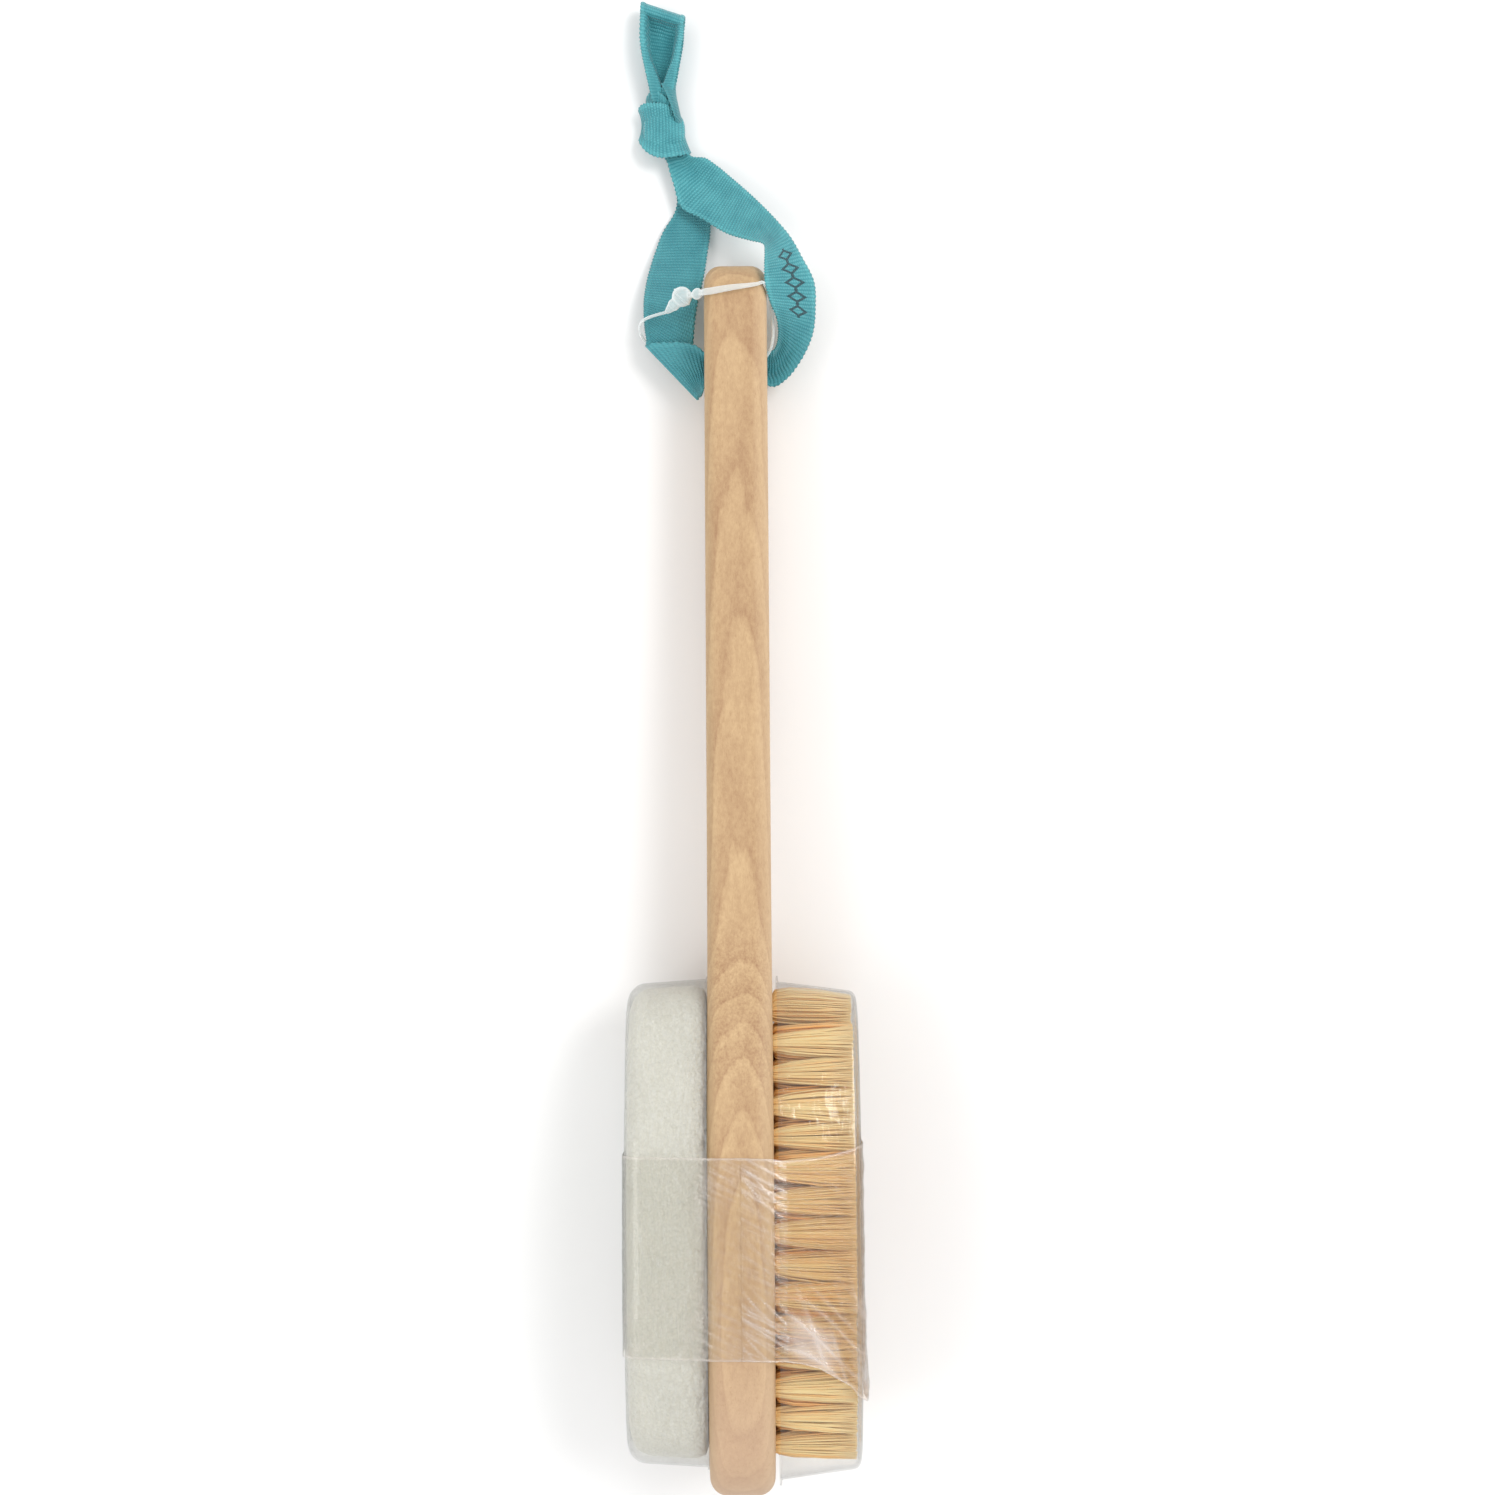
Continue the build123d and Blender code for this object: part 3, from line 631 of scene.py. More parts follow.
def tuft_fibres(rng, y, z, outer):
    """Root and tip of one tuft's fibres."""
    turn = rng.uniform(0, 2 * math.pi, FIBRES)
    far = np.sqrt(rng.uniform(0, 1, FIBRES))
    disc = np.stack([np.cos(turn), np.sin(turn)], axis=1) * far[:, None]
    # A disc at the root opens to a rounded square at the tips, so that neighbours close up.
    largest = np.maximum(np.abs(disc).max(axis=1), 1e-6)
    square = disc * (np.linalg.norm(disc, axis=1) / largest)[:, None]
    spread = (0.35 * disc + 0.65 * square) * [ROW_PITCH / 2 + 0.25, TUFT_PITCH / 2 + 0.2]
    root = np.column_stack([np.full(FIBRES, HALF_BOARD - ROOT_DEPTH), [y, z] + disc * ROOT_RADIUS])
    # The inner tufts lean out and aside, and fill the gaps between rows.
    lean = rng.normal(0, 1, 2) * [0.35 if outer else 0.5, 0.35]
    lean += [0.7 * (y > END_ROW), 0.0 if outer else 1.2 * np.sign(z)]
    spread[:, 0] *= 0.96 if outer else 1.25
    tip = np.column_stack([
        FACE - 0.15 - rng.uniform(0, 1, FIBRES) ** 2 * 1.3,
        y + spread[:, 0] + lean[0] + rng.normal(0, 0.3, FIBRES),
        z + spread[:, 1] + lean[1] + rng.normal(0, 0.3, FIBRES),
    ])
    low = COVER_CENTRE - COVER_CROWN[0] + 1.0
    tip[:, 1] = np.clip(tip[:, 1], low, COVER_CENTRE + COVER_CROWN[0] - 0.3)
    room = oval_half_width(tip[:, 1] - COVER_CENTRE, *COVER_CROWN) - 0.25
    tip[:, 2] = np.clip(tip[:, 2], -room, room)
    return root, tip


def bristle_row(name, rng):
    """One row's tufts as fibres, four-sided and slightly bent."""
    own = board_points(name)
    y = (own[:, 1].min() + own[:, 1].max()) / 2
    wide = own[:, 2].max() - own[:, 2].min()
    count = round((wide - TUFT_TIP) / TUFT_PITCH) + 1
    steps = np.array([0.0, 0.1, 0.28, 0.62, 1.0])
    heap = Heap()
    for k in range(count):
        z = (k - (count - 1) / 2) * TUFT_PITCH
        outer = k in (0, count - 1)
        root, tip = tuft_fibres(rng, y, z, outer)
        bend = rng.normal(0, 0.28, (FIBRES, 3)) * [0, 1, 1]
        opening = [1.0, 0.62 if outer and y < END_ROW else 0.2, 0.8]
        path = root[:, None] + (tip - root)[:, None] * steps[None, :, None] ** opening
        # The inner tufts' fibres arch out between the outer ones, and the end row's arch up.
        arch = (steps**0.25 * (1 - steps))[None, :]
        if not outer:
            beyond = np.clip((root[:, 2] - z) * np.sign(z) / ROOT_RADIUS + 0.3, 0, 1)
            path[:, :, 2] += ARCH_ASIDE * np.sign(z) * beyond[:, None] * arch
        if y > END_ROW:
            beyond = np.clip((root[:, 1] - y) / ROOT_RADIUS + 0.2, 0, 1)
            path[:, :, 1] += ARCH_UP * beyond[:, None] * arch
        path += bend[:, None] * np.sin(math.pi * steps)[None, :, None]
        radius = rng.uniform(*FIBRE_RADIUS, FIBRES)
        taper = np.array([1.0, 1.0, 0.97, 0.9, 0.62])
        turn = rng.uniform(0, math.pi, FIBRES)[:, None] + np.arange(4) * math.pi / 2
        ring = np.stack([np.zeros_like(turn), np.cos(turn), np.sin(turn)], axis=2)
        points = path[:, :, None] + ring[:, None] * (radius[:, None] * taper)[:, :, None, None]
        base = np.arange(FIBRES)[:, None, None] * (len(steps) * 4)
        level = np.arange(len(steps) - 1)[None, :, None] * 4
        side = np.arange(4)[None, None, :]
        a, b = base + level + side, base + level + (side + 1) % 4
        sides = np.stack([a, b, b + 4, a + 4], axis=3).reshape(-1, 4)
        ends = (base[:, 0] + np.arange(4)).reshape(-1, 4)
        caps = np.concatenate([ends[:, ::-1], ends + (len(steps) - 1) * 4])
        # Each fibre's tone varies at random, with painted light on the outer tufts and painted shade on
        # the inner ones: the outer are paler, the inner darker and more orange.
        tint = np.repeat(np.clip(rng.normal(0.8 if outer else 0.25, 0.18, FIBRES), 0, 1), len(steps) * 4)
        heap.add(points.reshape(-1, 3), np.concatenate([sides, caps]), value=tint)
    own_name = name.replace("bristle_row", "bristle_fibres")
    piece = heap.make(own_name, bristles, on_board, "brush", "tint")
    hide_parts(name)


bristles = bristle_paint()
rows = sorted(n for n in frame["nodes"] if n.startswith("bristle_row_"))
for number, row in enumerate(rows):
    bristle_row(row, np.random.default_rng(100 + number))


# ---- pad -----------------------------------------------------------------------------
FABRIC_STEP = 0.0022
SWELLING = 0.0006
SWELLING_FRAMES = 16
ROUNDING = 3.0


def apply(piece, kind, **settings):
    """Adds a modifier and turns its result into the piece's mesh."""
    modifier = piece.modifiers.new(kind.lower(), kind)
    for key, value in settings.items():
        setattr(modifier, key, value)
    seen = piece.evaluated_get(bpy.context.evaluated_depsgraph_get())
    mesh = bpy.data.meshes.new_from_object(seen)
    piece.modifiers.clear()
    piece.data = mesh


def make_pad():
    """The padded fabric pad: swollen by a cloth simulation from a slightly smaller shape."""
    source = frame["nodes"]["pad"]
    mesh = source.data.copy()
    pad = bpy.data.objects.new("terry_pad", mesh)
    bpy.context.scene.collection.objects.link(pad)
    co = board_points("pad")
    middle = (co.min(axis=0) + co.max(axis=0)) / 2
    # The fabric is tucked less than the solid's rounding where it meets the board.
    tuck = np.clip(co[:, 0] + HALF_BOARD + ROUNDING + 0.4, 0, ROUNDING)
    away = (co - middle) * [0, 0.2, 1.0]
    away /= np.maximum(np.linalg.norm(away, axis=1, keepdims=True), 1e-9)
    rim = np.hypot(co[:, 1] - middle[1], co[:, 2]) > 20
    co += away * (0.75 * (ROUNDING - np.sqrt(ROUNDING**2 - tuck**2)) * rim)[:, None]
    # It also fills its cover from end to end, the more so towards the board.
    to_board = np.clip((co[:, 0] - co[:, 0].min()) / 20, 0, 1)
    to_end = np.clip((np.abs(co[:, 1] - middle[1]) - 45) / 20, 0, 1)
    co[:, 1] += np.sign(co[:, 1] - middle[1]) * 1.2 * to_board * to_end
    shrunk = middle - [0, 1.3, 0] + (co - middle) * [0.985, 1.012, 0.985]
    for vertex, where in zip(mesh.vertices, on_board(shrunk)):
        vertex.co = where
    work = bmesh.new()
    work.from_mesh(mesh)
    bmesh.ops.remove_doubles(work, verts=work.verts, dist=0.00002)
    work.to_mesh(mesh)
    work.free()
    apply(pad, "REMESH", mode="VOXEL", voxel_size=FABRIC_STEP)
    start = np.array([v.co for v in pad.data.vertices])
    cloth = pad.modifiers.new("cloth", "CLOTH")
    cloth.settings.use_pressure = True
    cloth.settings.uniform_pressure_force = 4.0
    cloth.settings.effector_weights.gravity = 0.0
    cloth.settings.quality = 4
    cloth.point_cache.frame_end = SWELLING_FRAMES
    for count in range(1, SWELLING_FRAMES + 1):
        bpy.context.scene.frame_set(count)
    seen = pad.evaluated_get(bpy.context.evaluated_depsgraph_get())
    end = np.array([v.co for v in seen.data.vertices])
    pad.modifiers.clear()
    bpy.context.scene.frame_set(1)
    move = end - start
    length = np.linalg.norm(move, axis=1, keepdims=True)
    move *= np.minimum(1.0, SWELLING / np.maximum(length, 1e-9))
    pad.data.vertices.foreach_set("co", (start + move).ravel())
    apply(pad, "SUBSURF", levels=1)
    # The looped pile: small soft bumps, and a sewn channel near the board.
    co = np.array([v.co for v in pad.data.vertices])
    normal = np.array([v.normal for v in pad.data.vertices])
    x, y, z = ((co / MM - MIDDLE) @ BOARD_AXES.T).T
    pile = np.sin(y * 3.1 + np.sin(z * 1.3)) * np.sin(x * 3.3 + np.sin(y * 0.9)) * np.cos(z * 2.9)
    seam = np.exp(-(((x + HALF_BOARD + 2.6) / 0.7) ** 2))
    co += normal * (pile * 0.12 - seam * 0.15)[:, None] * MM
    pad.data.vertices.foreach_set("co", co.ravel())
    pad.data.polygons.foreach_set("use_smooth", [True] * len(pad.data.polygons))
    pad.data.materials.clear()
    pad.data.materials.append(pad_paint())
    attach(pad, "brush")
    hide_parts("pad")


make_pad()


# ---- shrink film ---------------------------------------------------------------------
FILM_SLACK = 0.28
FILM_THICKNESS = 0.1
FILM_ROWS, FILM_COLUMNS = 150, 190


def film_half_width(y, inset=0.0):
    """Half the film's width at y, where the film lies inset from the head's own oval."""
    return oval_half_width(y, HEAD[0] + FILM_SLACK - inset, HEAD[1] + FILM_SLACK - inset)


def film_section(levels, y):
    """Points round half the film at each y, from the seam on top to the seam below. A level
    gives a distance from the board's middle and how far inset the film lies there."""
    top = np.array([[np.full_like(y, x), film_half_width(y, inset)] for x, inset in levels])
    top = np.moveaxis(top, 2, 0)
    whole = np.concatenate([top, top[:, ::-1] * [1.0, -1.0]], axis=1)
    rows = []
    for path in whole:
        way = np.concatenate([[0], np.cumsum(np.linalg.norm(np.diff(path, axis=0), axis=1))])
        at = np.linspace(0, way[-1], FILM_COLUMNS)
        rows.append(np.column_stack([np.interp(at, way, path[:, 0]), np.interp(at, way, path[:, 1])]))
    rows = np.array(rows)
    for _ in range(6):
        rows[:, 1:-1] = (rows[:, :-2] + 2 * rows[:, 1:-1] + rows[:, 2:]) / 4
    return rows


def crease(x, y, rng, count, wave, lean, spread, sharp=0.35):
    """Sharp-topped ripples, 0 to 1: count families of them about wave apart. Gives their mean
    and the sharpest of them."""
    height, peak = np.zeros_like(x), np.zeros_like(x)
    for _ in range(count):
        turn = lean + rng.uniform(-spread, spread)
        pace = 2 * math.pi / (wave * rng.uniform(0.7, 1.4))
        bend = rng.uniform(0.5, 1.5) * np.sin(x * rng.uniform(0.1, 0.3) + rng.uniform(0, 6))
        ripple = np.sin((x * math.sin(turn) + y * math.cos(turn)) * pace / 2 + bend + rng.uniform(0, 6))
        top = 1.0 - np.abs(ripple) ** sharp
        patches = x * rng.uniform(0.2, 0.5) + y * rng.uniform(0.2, 0.5) + rng.uniform(0, 6)
        height += top
        peak = np.maximum(peak, top**1.6 * (0.5 + 0.5 * np.sin(patches)))
    return height / count, peak


def film(name, node, side, levels, low, high, loose, body):
    """Half the film, on one side of the board. Low and high give the y of its two edges by
    distance from the board's middle, and loose says how far it stands off its cover's face."""
    rng = np.random.default_rng(7 if side > 0 else 8)
    share = np.linspace(0, 1, FILM_ROWS)[:, None]
    straight = np.linspace(low[1][0], high[1][0], FILM_ROWS)
    first = film_section(levels, straight)
    x = first[:, :, 0]
    y = np.interp(x, *low) * (1 - share) + np.interp(x, *high) * share
    # Each column keeps its level, and its z follows the oval at its own y.
    inset = np.interp(x, *np.transpose(levels))
    room = np.maximum(film_half_width(straight)[:, None] - inset, 1e-6)
    z = first[:, :, 1] * (film_half_width(y) - inset) / room
    grid = np.stack([side * x, y, z], axis=2)
    out = normals(grid)
    out *= np.sign(np.sum(out * grid, axis=2, keepdims=True))
    near_board = np.exp(-((x / HALF_BOARD) ** 4))
    on_face = np.clip((x - 30.0) / 4.0, 0, 1)
    to_end = np.clip((-y - 14.0) / 26.0, 0, 1)
    fine, lines = crease(x, y, rng, 4, 2.1, lean=0.5 if side > 0 else -0.4, spread=0.5)
    broad, folds = crease(x + 0.3 * z, y, rng, 3, 7.5, lean=0.9, spread=0.8, sharp=0.5)
    swell, _ = crease(y, z, rng, 2, 14.0, lean=0.3, spread=0.5, sharp=1.4)
    right = 1.0 if side > 0 else 0.35
    ends = np.exp(-(((y - 17.0) / 6.0) ** 2)) + np.exp(-(((y + 25.0) / 7.0) ** 2))
    lift = 0.05 + near_board * fine * (0.06 + 0.26 * right * ends)
    lift += 0.12 * near_board * lines * right
    lift += (1 - near_board) * (0.12 * fine + 0.3 * broad * right)
    lift += loose * on_face * (0.25 * broad + 1.5 * swell * to_end + 0.35 * fine * to_end)
    grid = grid + out * lift[:, :, None]
    # A painted highlight: the patch on top, by its lower edge, is painted whiter through the haze as if
    # it caught the light.
    patch = np.exp(-(((x - 20.0) / 6.5) ** 4) - (((y + 29.5 + (x - 20) * 0.5) / 6.0) ** 4))
    patch *= (z > 0) * (side > 0)
    # The haze paints white highlights along the ripple crests over the wood, on the folds over the
    # bristles and on the patch, and whitens the film's two edges.
    over_wood = np.clip((x + 0.5) / 2.5, 0, 1) * (x < 13)
    haze = 0.95 * over_wood * right * lines * np.clip(ends + 0.3, 0, 1)
    haze += 0.12 * near_board * (x <= 1) * lines
    haze += 1.1 * patch * (0.4 + 0.6 * folds) + 0.5 * on_face * to_end * lines * loose
    haze += 0.35 * right * (x > 12) * folds * np.clip((-y - 8) / 14, 0, 1)
    rim = np.minimum(share, 1 - share) * np.ones_like(x) * FILM_ROWS
    haze += 0.35 * np.exp(-((rim / 1.3) ** 2))
    heap = Heap()
    heap.slab(grid, FILM_THICKNESS, value=np.clip(haze, 0, 1))
    piece = heap.make(name, film_material, on_board, body, "haze")
    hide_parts(node)


film_material = film_paint()
film(
    "shrink_film_bristle_side", "film_band_bristle_side", 1,
    [(0.0, 0.0), (4.5, 0.0), (9.4, 0.5), (11.8, 1.4), (33.6, 4.5), (34.85, 7.5)],
    ([0, 12, 17, 22, 31, 35], [-33.5, -34.0, -34.8, -36.4, -42.0, -47.4]),
    ([0, 9, 12, 22, 30, 35], [23.0, 22.6, 22.0, 22.6, 24.4, 26.0]), 1.0, "bristle_guard",
)
film(
    "shrink_film_pad_side", "film_band_pad_side", -1,
    [(0.0, 0.0), (4.5, 0.0), (9.4, 0.6), (10.4, 1.5), (30.4, 4.0), (33.75, 7.0)],
    ([0, 12, 35], [-33.5, -33.6, -33.4]), ([0, 12, 35], [23.0, 22.9, 23.0]), 0.0, "pad_guard",
)


# ---- ribbon --------------------------------------------------------------------------
RIBBON_WIDTH = 16.0
RIBBON_THICKNESS = 0.36
RIBBON_STEP = 0.3
CREASE_AT = 0.4  # of the ribbon's width


def strip(heap, stations, across=20, along=0.0, picots=True, trough=False):
    """A length of ribbon. A station is one edge, the other edge, and how far the middle bows,
    how far it is creased and how deeply it is pleated, each along the ribbon's own normal and
    0 where it is left out. A trough is flat along both edges instead, for the share of its
    width given as its crease, and sinks between them."""
    rows = [(*a, *b, *more, *[0.0] * (3 - len(more))) for a, b, *more in stations]
    rows = smooth(rows, RIBBON_STEP)
    u = np.linspace(0, 1, across + 1)
    grid = rows[:, None, :3] * (1 - u)[None, :, None] + rows[:, None, 3:6] * u[None, :, None]
    bow, fold, pleat = (rows[:, k, None] for k in (6, 7, 8))
    bulge = bow * (1 - (2 * u - 1) ** 2)
    reach = np.where(u < CREASE_AT, CREASE_AT, 1 - CREASE_AT)
    valley = fold * np.maximum(0, 1 - np.abs(u - CREASE_AT) / reach)
    ribs = pleat * np.cos(2 * math.pi * 2.5 * u)
    if trough:
        from_edge = np.minimum(u, 1 - u)
        inward = np.clip((from_edge - fold) / 0.12, 0, 1)
        bulge = bow * inward**2 * (3 - 2 * inward)
        valley = 0.25 * np.sin(np.clip(from_edge / fold, 0, 1) * math.pi)
    grid = grid + normals(grid) * (bulge + valley + ribs)[:, :, None]
    way = np.linalg.norm(np.diff(grid, axis=0), axis=2)
    length = along + np.concatenate([[0.0], np.cumsum(way.mean(axis=1))])[:, None] * np.ones(across + 1)
    uv = np.stack([np.broadcast_to(u * RIBBON_WIDTH, length.shape), length], axis=2)
    if picots:  # small loops of thread along both edges
        for edge, beside in ((0, 1), (-1, -2)):
            out = grid[:, edge] - grid[:, beside]
            out /= np.maximum(np.linalg.norm(out, axis=1, keepdims=True), 1e-9)
            loop = 0.5 - 0.5 * np.cos(2 * math.pi * length[:, edge] / 1.15)
            grid[:, edge] += out * (0.3 * loop - 0.1)[:, None]
    heap.slab(grid, RIBBON_THICKNESS, uv)


hole_y, hole_z = HOLE_FROM_MIDDLE * math.cos(SLOPE), hole[2]
main = Heap()
strip(main, [
    ((-14.8, 327.0, 5.2), (-21.0, 326.6, 4.4), -1.2, 1.0),
    ((-13.8, 325.0, 6.0), (-20.8, 323.2, 5.0), -0.9, 1.8),
    ((-9.0, 323.6, 7.6), (-18.8, 315.6, 5.0), -0.6, 2.1),
    ((-5.4, 320.9, 8.6), (-17.0, 309.6, 4.8), -0.4, 1.7),
    ((-1.0, 316.8, 10.0), (-10.4, 305.2, 6.6), -0.3, 0.7),
    ((4.2, 311.6, 12.4), (-2.6, 299.6, 10.6), -0.2, 0.1),
    ((9.6, 305.6, 15.2), (4.6, 296.0, 16.2)),
    ((13.2, 301.2, 17.0), (8.6, 293.8, 20.6), 0.1),
    ((16.8, 296.4, 18.2), (9.0, 290.6, 24.2), 0.2),
    ((20.2, 290.3, 18.5), (8.9, 286.0, 26.4), 0.2),
    ((24.0, 282.8, 17.0), (9.1, 280.5, 26.4), 0.2),
    ((24.4, 275.4, 15.0), (10.6, 275.3, 24.0), 0.1),
    ((23.6, 267.6, 13.5), (12.6, 270.8, 20.0), 0.2, 0.0, 0.1),
    ((20.2, 260.0, 12.8), (13.0, 266.6, 17.0), 0.7, 0.0, 0.25),
    ((15.6, 254.0, 13.2), (12.4, 263.8, 15.4), 1.4, 0.0, 0.4),
    ((12.0, 251.6, 14.4), (11.2, 262.2, 15.3), 2.4, 0.0, 0.45),
    ((9.6, hole_y - 4.9, hole_z), (9.6, hole_y + 5.1, hole_z), 3.2, 0.0, 0.4),
    ((0.0, hole_y - 4.2, hole_z), (0.0, hole_y + 5.1, hole_z), 3.4, 0.0, 0.35),
    ((-9.6, hole_y - 4.3, hole_z), (-9.6, hole_y + 5.1, hole_z), 2.4, 0.0, 0.3),
    ((-10.2, 250.5, 14.9), (-12.0, 263.9, 15.1), 1.5, 0.0, 0.3),
    ((-10.5, 249.5, 14.2), (-16.0, 265.2, 14.2), 0.8, 0.0, 0.15),
    ((-10.8, 248.9, 13.5), (-21.4, 265.5, 13.0), 0.3),
    ((-11.3, 248.6, 12.8), (-26.4, 265.4, 11.8)),
    ((-11.9, 247.9, 12.1), (-27.7, 264.8, 11.0)),
    ((-12.4, 249.6, 11.3), (-27.6, 265.9, 10.2)),
    ((-13.2, 258.0, 11.4), (-28.1, 270.6, 9.4), 0.2),
    ((-13.0, 267.5, 10.6), (-28.4, 275.5, 8.6), 0.3),
    ((-12.0, 277.0, 8.9), (-28.3, 280.6, 7.2), 0.4),
    ((-10.0, 286.6, 5.6), (-27.2, 287.6, 5.0), 0.5),
    ((-8.7, 295.6, 3.1), (-25.0, 295.4, 3.1), 0.4),
    ((-7.8, 302.6, 1.9), (-22.4, 302.4, 2.0), 0.2),
    ((-8.2, 308.6, 1.4), (-18.6, 309.0, 1.4)),
    ((-10.6, 317.6, 1.5), (-18.6, 318.4, 1.5), 0.0, 0.0, 0.2),
    ((-15.4, 326.0, 2.4), (-22.4, 326.6, 2.4), 0.0, 0.0, 0.3),
])
ribbon_loop = main.make(
    "ribbon_band_main", ribbon_paint("woven_ribbon_printed", [(53.0, 74.0, 6.4)], 1.0), on_table,
    "hang_ribbon",
)
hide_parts("ribbon_loop")

plain_ribbon = ribbon_paint("woven_ribbon_plain")
knot = Heap()
strip(knot, [
    ((-25.0, 337.4, 1.3), (-24.0, 330.0, 1.3)),
    ((-28.4, 338.2, 2.2), (-28.0, 331.4, 2.2), 0.4),
    ((-29.7, 339.2, 4.2), (-29.7, 330.6, 4.0), 1.0),
    ((-29.2, 340.2, 6.4), (-28.9, 328.0, 5.8), 1.5),
    ((-27.2, 340.7, 8.0), (-26.6, 325.4, 7.2), 1.7),
    ((-24.4, 340.6, 8.7), (-23.4, 323.9, 8.1), 1.7),
    ((-21.6, 340.3, 8.6), (-19.4, 324.0, 8.1), 1.5),
    ((-19.2, 339.6, 7.6), (-16.2, 324.8, 7.1), 1.3),
    ((-17.4, 338.2, 6.0), (-14.2, 325.6, 5.6), 1.0),
    ((-16.4, 336.6, 3.8), (-13.8, 326.8, 3.4), 0.5),
    ((-18.0, 335.0, 1.6), (-16.2, 328.0, 1.6)),
], across=24)
strip(knot, [
    ((-26.8, 342.0, 1.6), (-27.2, 336.0, 1.6)),
    ((-27.4, 342.8, 4.4), (-28.0, 336.0, 4.4), 0.2),
    ((-25.9, 344.4, 6.9), (-26.4, 336.0, 6.6), 0.4),
    ((-23.2, 343.9, 8.3), (-23.8, 335.6, 7.4), 0.4),
    ((-20.3, 341.4, 8.3), (-21.4, 334.0, 7.0), 0.3),
    ((-17.9, 338.4, 5.8), (-18.4, 331.0, 5.4), 0.2),
    ((-17.2, 336.4, 2.0), (-17.4, 330.0, 2.0)),
], across=14, along=7.0)
strip(knot, [
    ((-22.6, 346.6, 8.3), (-18.2, 347.6, 7.0), 0.5),
    ((-21.2, 343.6, 9.2), (-18.1, 343.6, 7.4), 0.6),
    ((-19.8, 340.2, 9.5), (-17.2, 339.0, 6.8), 0.6),
    ((-18.6, 336.6, 8.6), (-16.2, 334.6, 5.6), 0.4),
    ((-17.8, 333.2, 6.2), (-15.6, 331.2, 3.6), 0.2),
], across=12, along=13.0, picots=False)
# The knot's core: a rounded lump that the wraps lie round.
CORE_MIDDLE = np.array([-21.9, 332.8, 4.6])
CORE_RADIUS = 6.6
CORE_HALF_HEIGHT = 3.5
around = np.linspace(0, 2 * math.pi, 40, endpoint=False)
turn, rise = np.meshgrid(around, np.linspace(-1.5, 1.5, 18), indexing="ij")
girth = CORE_RADIUS * np.cos(rise) ** 0.7
core = CORE_MIDDLE + np.stack([
    girth * np.sign(np.cos(turn)) * np.abs(np.cos(turn)) ** 0.8,
    girth * np.sign(np.sin(turn)) * np.abs(np.sin(turn)) ** 0.8,
    CORE_HALF_HEIGHT * np.sin(rise),
], axis=2)
n, m = core.shape[:2]
i, j = np.meshgrid(np.arange(n), np.arange(m - 1), indexing="ij")
a, b = i * m + j, (i + 1) % n * m + j
quads = np.stack([a, b, b + 1, a + 1], axis=2).reshape(-1, 4)
ends = CORE_MIDDLE + [[0, 0, -CORE_HALF_HEIGHT - 0.02], [0, 0, CORE_HALF_HEIGHT + 0.02]]
lump = np.concatenate([core.reshape(-1, 3), ends])
knot.add(lump, quads, np.column_stack([lump[:, 1] - CORE_MIDDLE[1] + RIBBON_WIDTH / 2, lump[:, 0]]))
k = np.arange(n)
after = (k + 1) % n
caps = [
    np.stack([k * m, after * m, np.full(n, n * m)], axis=1),
    np.stack([k * m + m - 1, np.full(n, n * m + 1), after * m + m - 1], axis=1),
]
knot.faces.append(np.concatenate(caps) + knot.count - len(lump))
ribbon_knot = knot.make("ribbon_band_knot", plain_ribbon, on_table, "hang_ribbon")
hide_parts("ribbon_knot")

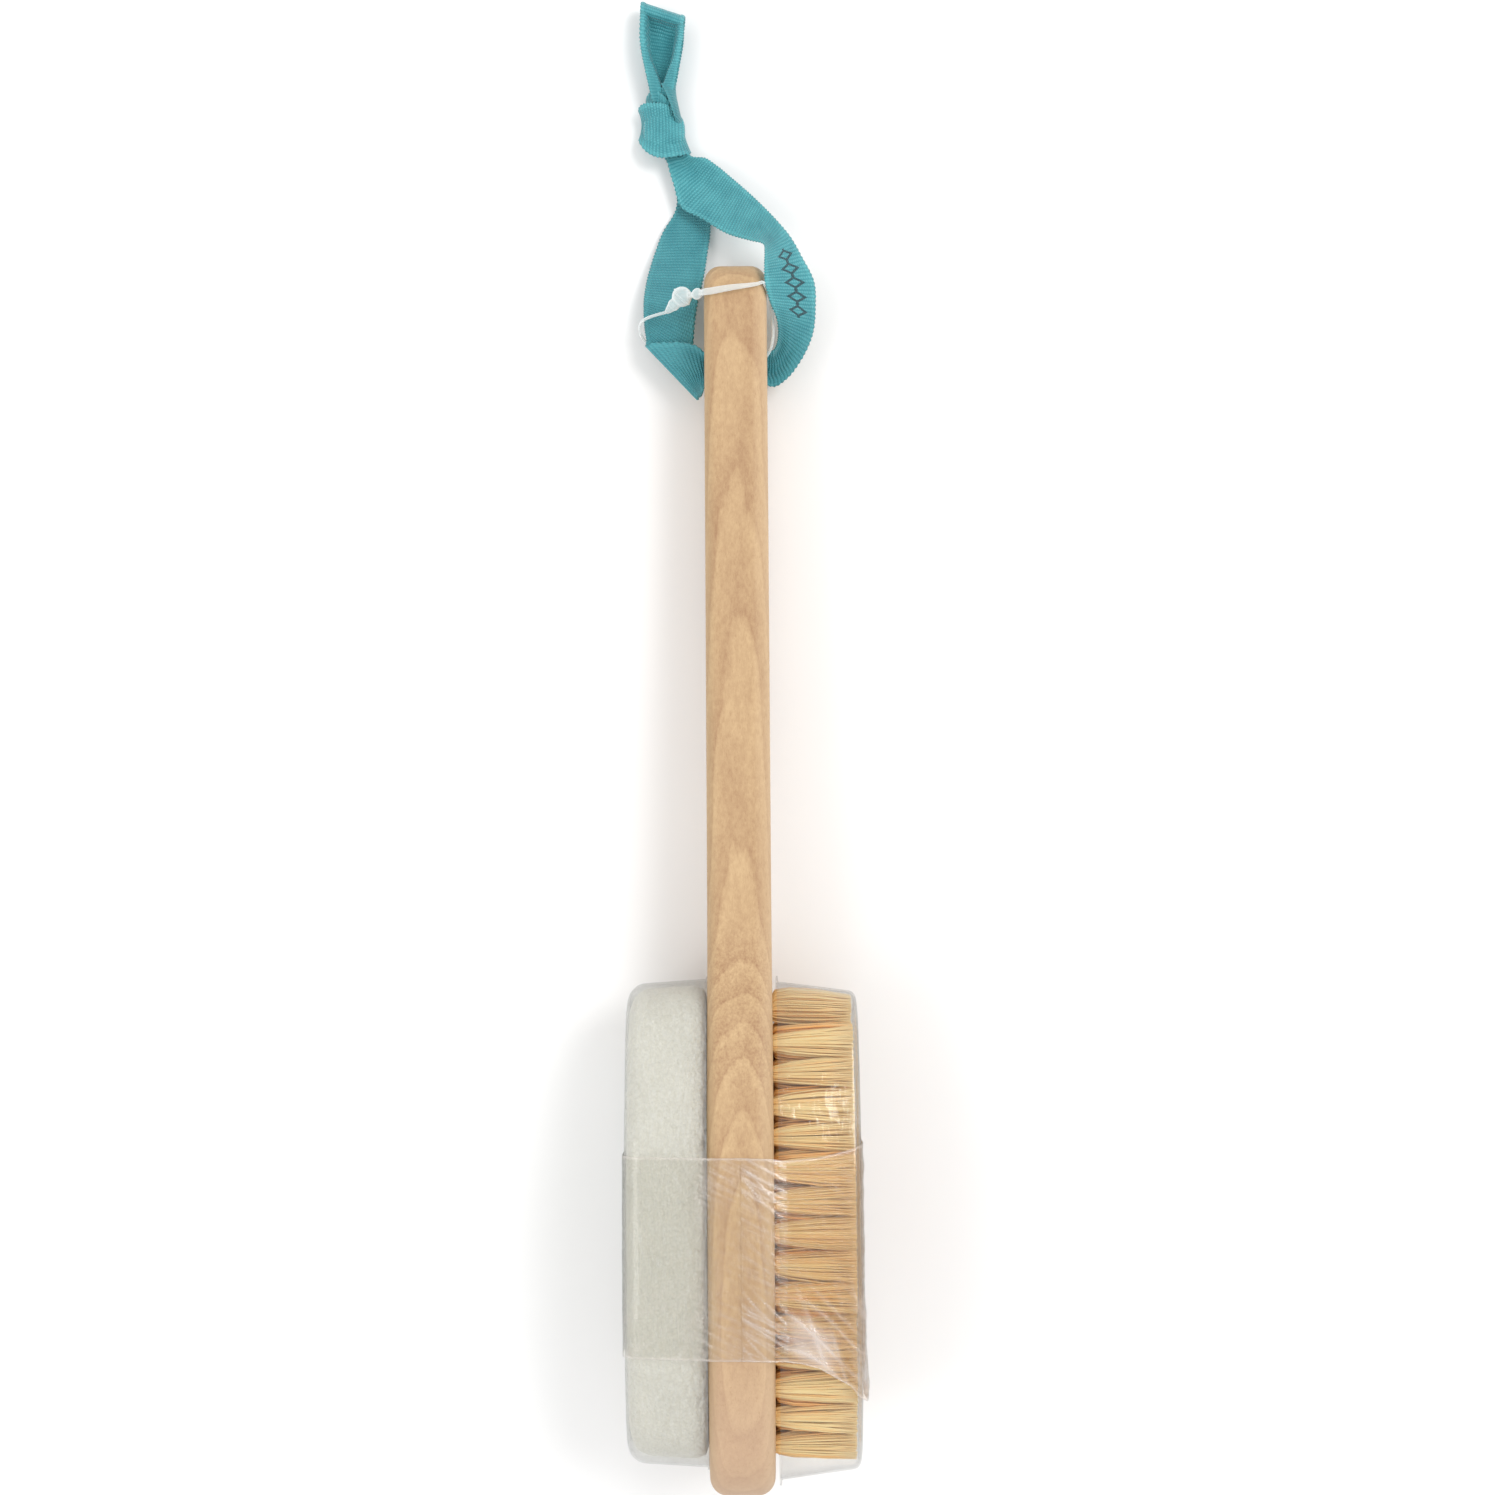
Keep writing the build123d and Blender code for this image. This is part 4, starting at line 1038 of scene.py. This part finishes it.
top = Heap()
strip(top, [
    ((-25.0, 340.0, 2.0), (-20.0, 340.0, 2.0), 0.0, 0.1),
    ((-26.6, 348.0, 1.2), (-18.4, 348.0, 1.2), 0.0, 0.1),
    ((-28.0, 355.0, 0.9), (-17.0, 355.4, 0.9), 0.0, 0.1),
    ((-28.7, 363.0, 0.9), (-15.9, 361.6, 0.9), 0.0, 0.1),
    ((-28.5, 369.6, 1.2), (-15.6, 365.6, 1.2), 0.0, 0.1),
    ((-28.5, 372.0, 2.8), (-15.3, 367.4, 2.8), 0.0, 0.1),
    ((-28.5, 372.7, 5.2), (-15.2, 368.1, 5.2), 0.0, 0.1),
    ((-28.6, 372.0, 7.4), (-15.3, 367.5, 7.4), 0.0, 0.1),
    ((-28.7, 370.6, 8.4), (-15.4, 366.2, 8.4), 0.1, 0.1),
    ((-28.8, 369.3, 8.4), (-15.5, 365.0, 8.4), -0.4, 0.1),
    ((-28.8, 368.4, 8.4), (-15.5, 364.2, 8.4), -3.0, 0.1),
    ((-28.9, 366.2, 8.4), (-15.6, 362.4, 8.4), -5.0, 0.1),
    ((-29.0, 361.0, 8.4), (-16.1, 359.0, 8.4), -5.8, 0.11),
    ((-28.4, 355.6, 8.4), (-16.9, 353.8, 8.4), -5.8, 0.16),
    ((-27.6, 351.8, 8.3), (-17.6, 350.4, 8.4), -5.6, 0.26),
    ((-26.8, 348.2, 8.2), (-18.2, 347.4, 8.5), -4.6, 0.36),
    ((-26.1, 345.2, 7.9), (-18.8, 344.6, 8.4), -2.4, 0.46),
    ((-25.2, 341.2, 7.2), (-19.8, 341.0, 7.4), -0.5, 0.48),
], across=40, trough=True)
ribbon_top = top.make("ribbon_band_top_loop", plain_ribbon, on_table, "hang_ribbon")
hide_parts("ribbon_top_loop")


# ---- floor and light -----------------------------------------------------------------
floor_paint = Paint("floor")
grain = floor_paint.noise(floor_paint.here(), 0.02, 2.0)
floor_colour = floor_paint.mix(grain, (0.90, 0.90, 0.90, 1.0), (0.92, 0.92, 0.92, 1.0))
floor_mesh = bpy.data.meshes.new("floor")
FLOOR_HALF = 3.0
corners = [(FLOOR_HALF * x, FLOOR_HALF * y, 0) for x, y in ((-1, -1), (1, -1), (1, 1), (-1, 1))]
floor_mesh.from_pydata(corners, [], [(0, 1, 2, 3)])
floor_mesh.materials.append(floor_paint.done(floor_paint.solid(floor_colour, 0.7)))
floor = bpy.data.objects.new("floor", floor_mesh)
bpy.context.scene.collection.objects.link(floor)


def softbox(name, where, aim, size, power):
    light = bpy.data.lights.new(name, "AREA")
    light.shape = "RECTANGLE"
    light.size, light.size_y = size
    light.energy = power
    lamp = bpy.data.objects.new(name, light)
    lamp.location = where
    lamp.rotation_euler = (Vector(aim) - Vector(where)).to_track_quat("-Z", "Y").to_euler()
    bpy.context.scene.collection.objects.link(lamp)


softbox("key_light", (0.9, 0.5, 1.5), (0.0, -0.05, 0.02), (0.7, 0.7), 13.0)
softbox("fill_light", (-1.2, -0.3, 1.3), (0.0, 0.0, 0.02), (1.0, 1.0), 8.0)
world = bpy.data.worlds.new("studio")
world.use_nodes = True
world.node_tree.nodes["Background"].inputs[0].default_value = (1.0, 1.0, 1.0, 1.0)
world.node_tree.nodes["Background"].inputs[1].default_value = 0.88
bpy.context.scene.world = world
bpy.context.scene.view_settings.view_transform = "Standard"
bpy.context.scene.cycles.transparent_max_bounces = 64
bpy.context.scene.cycles.diffuse_bounces = 8
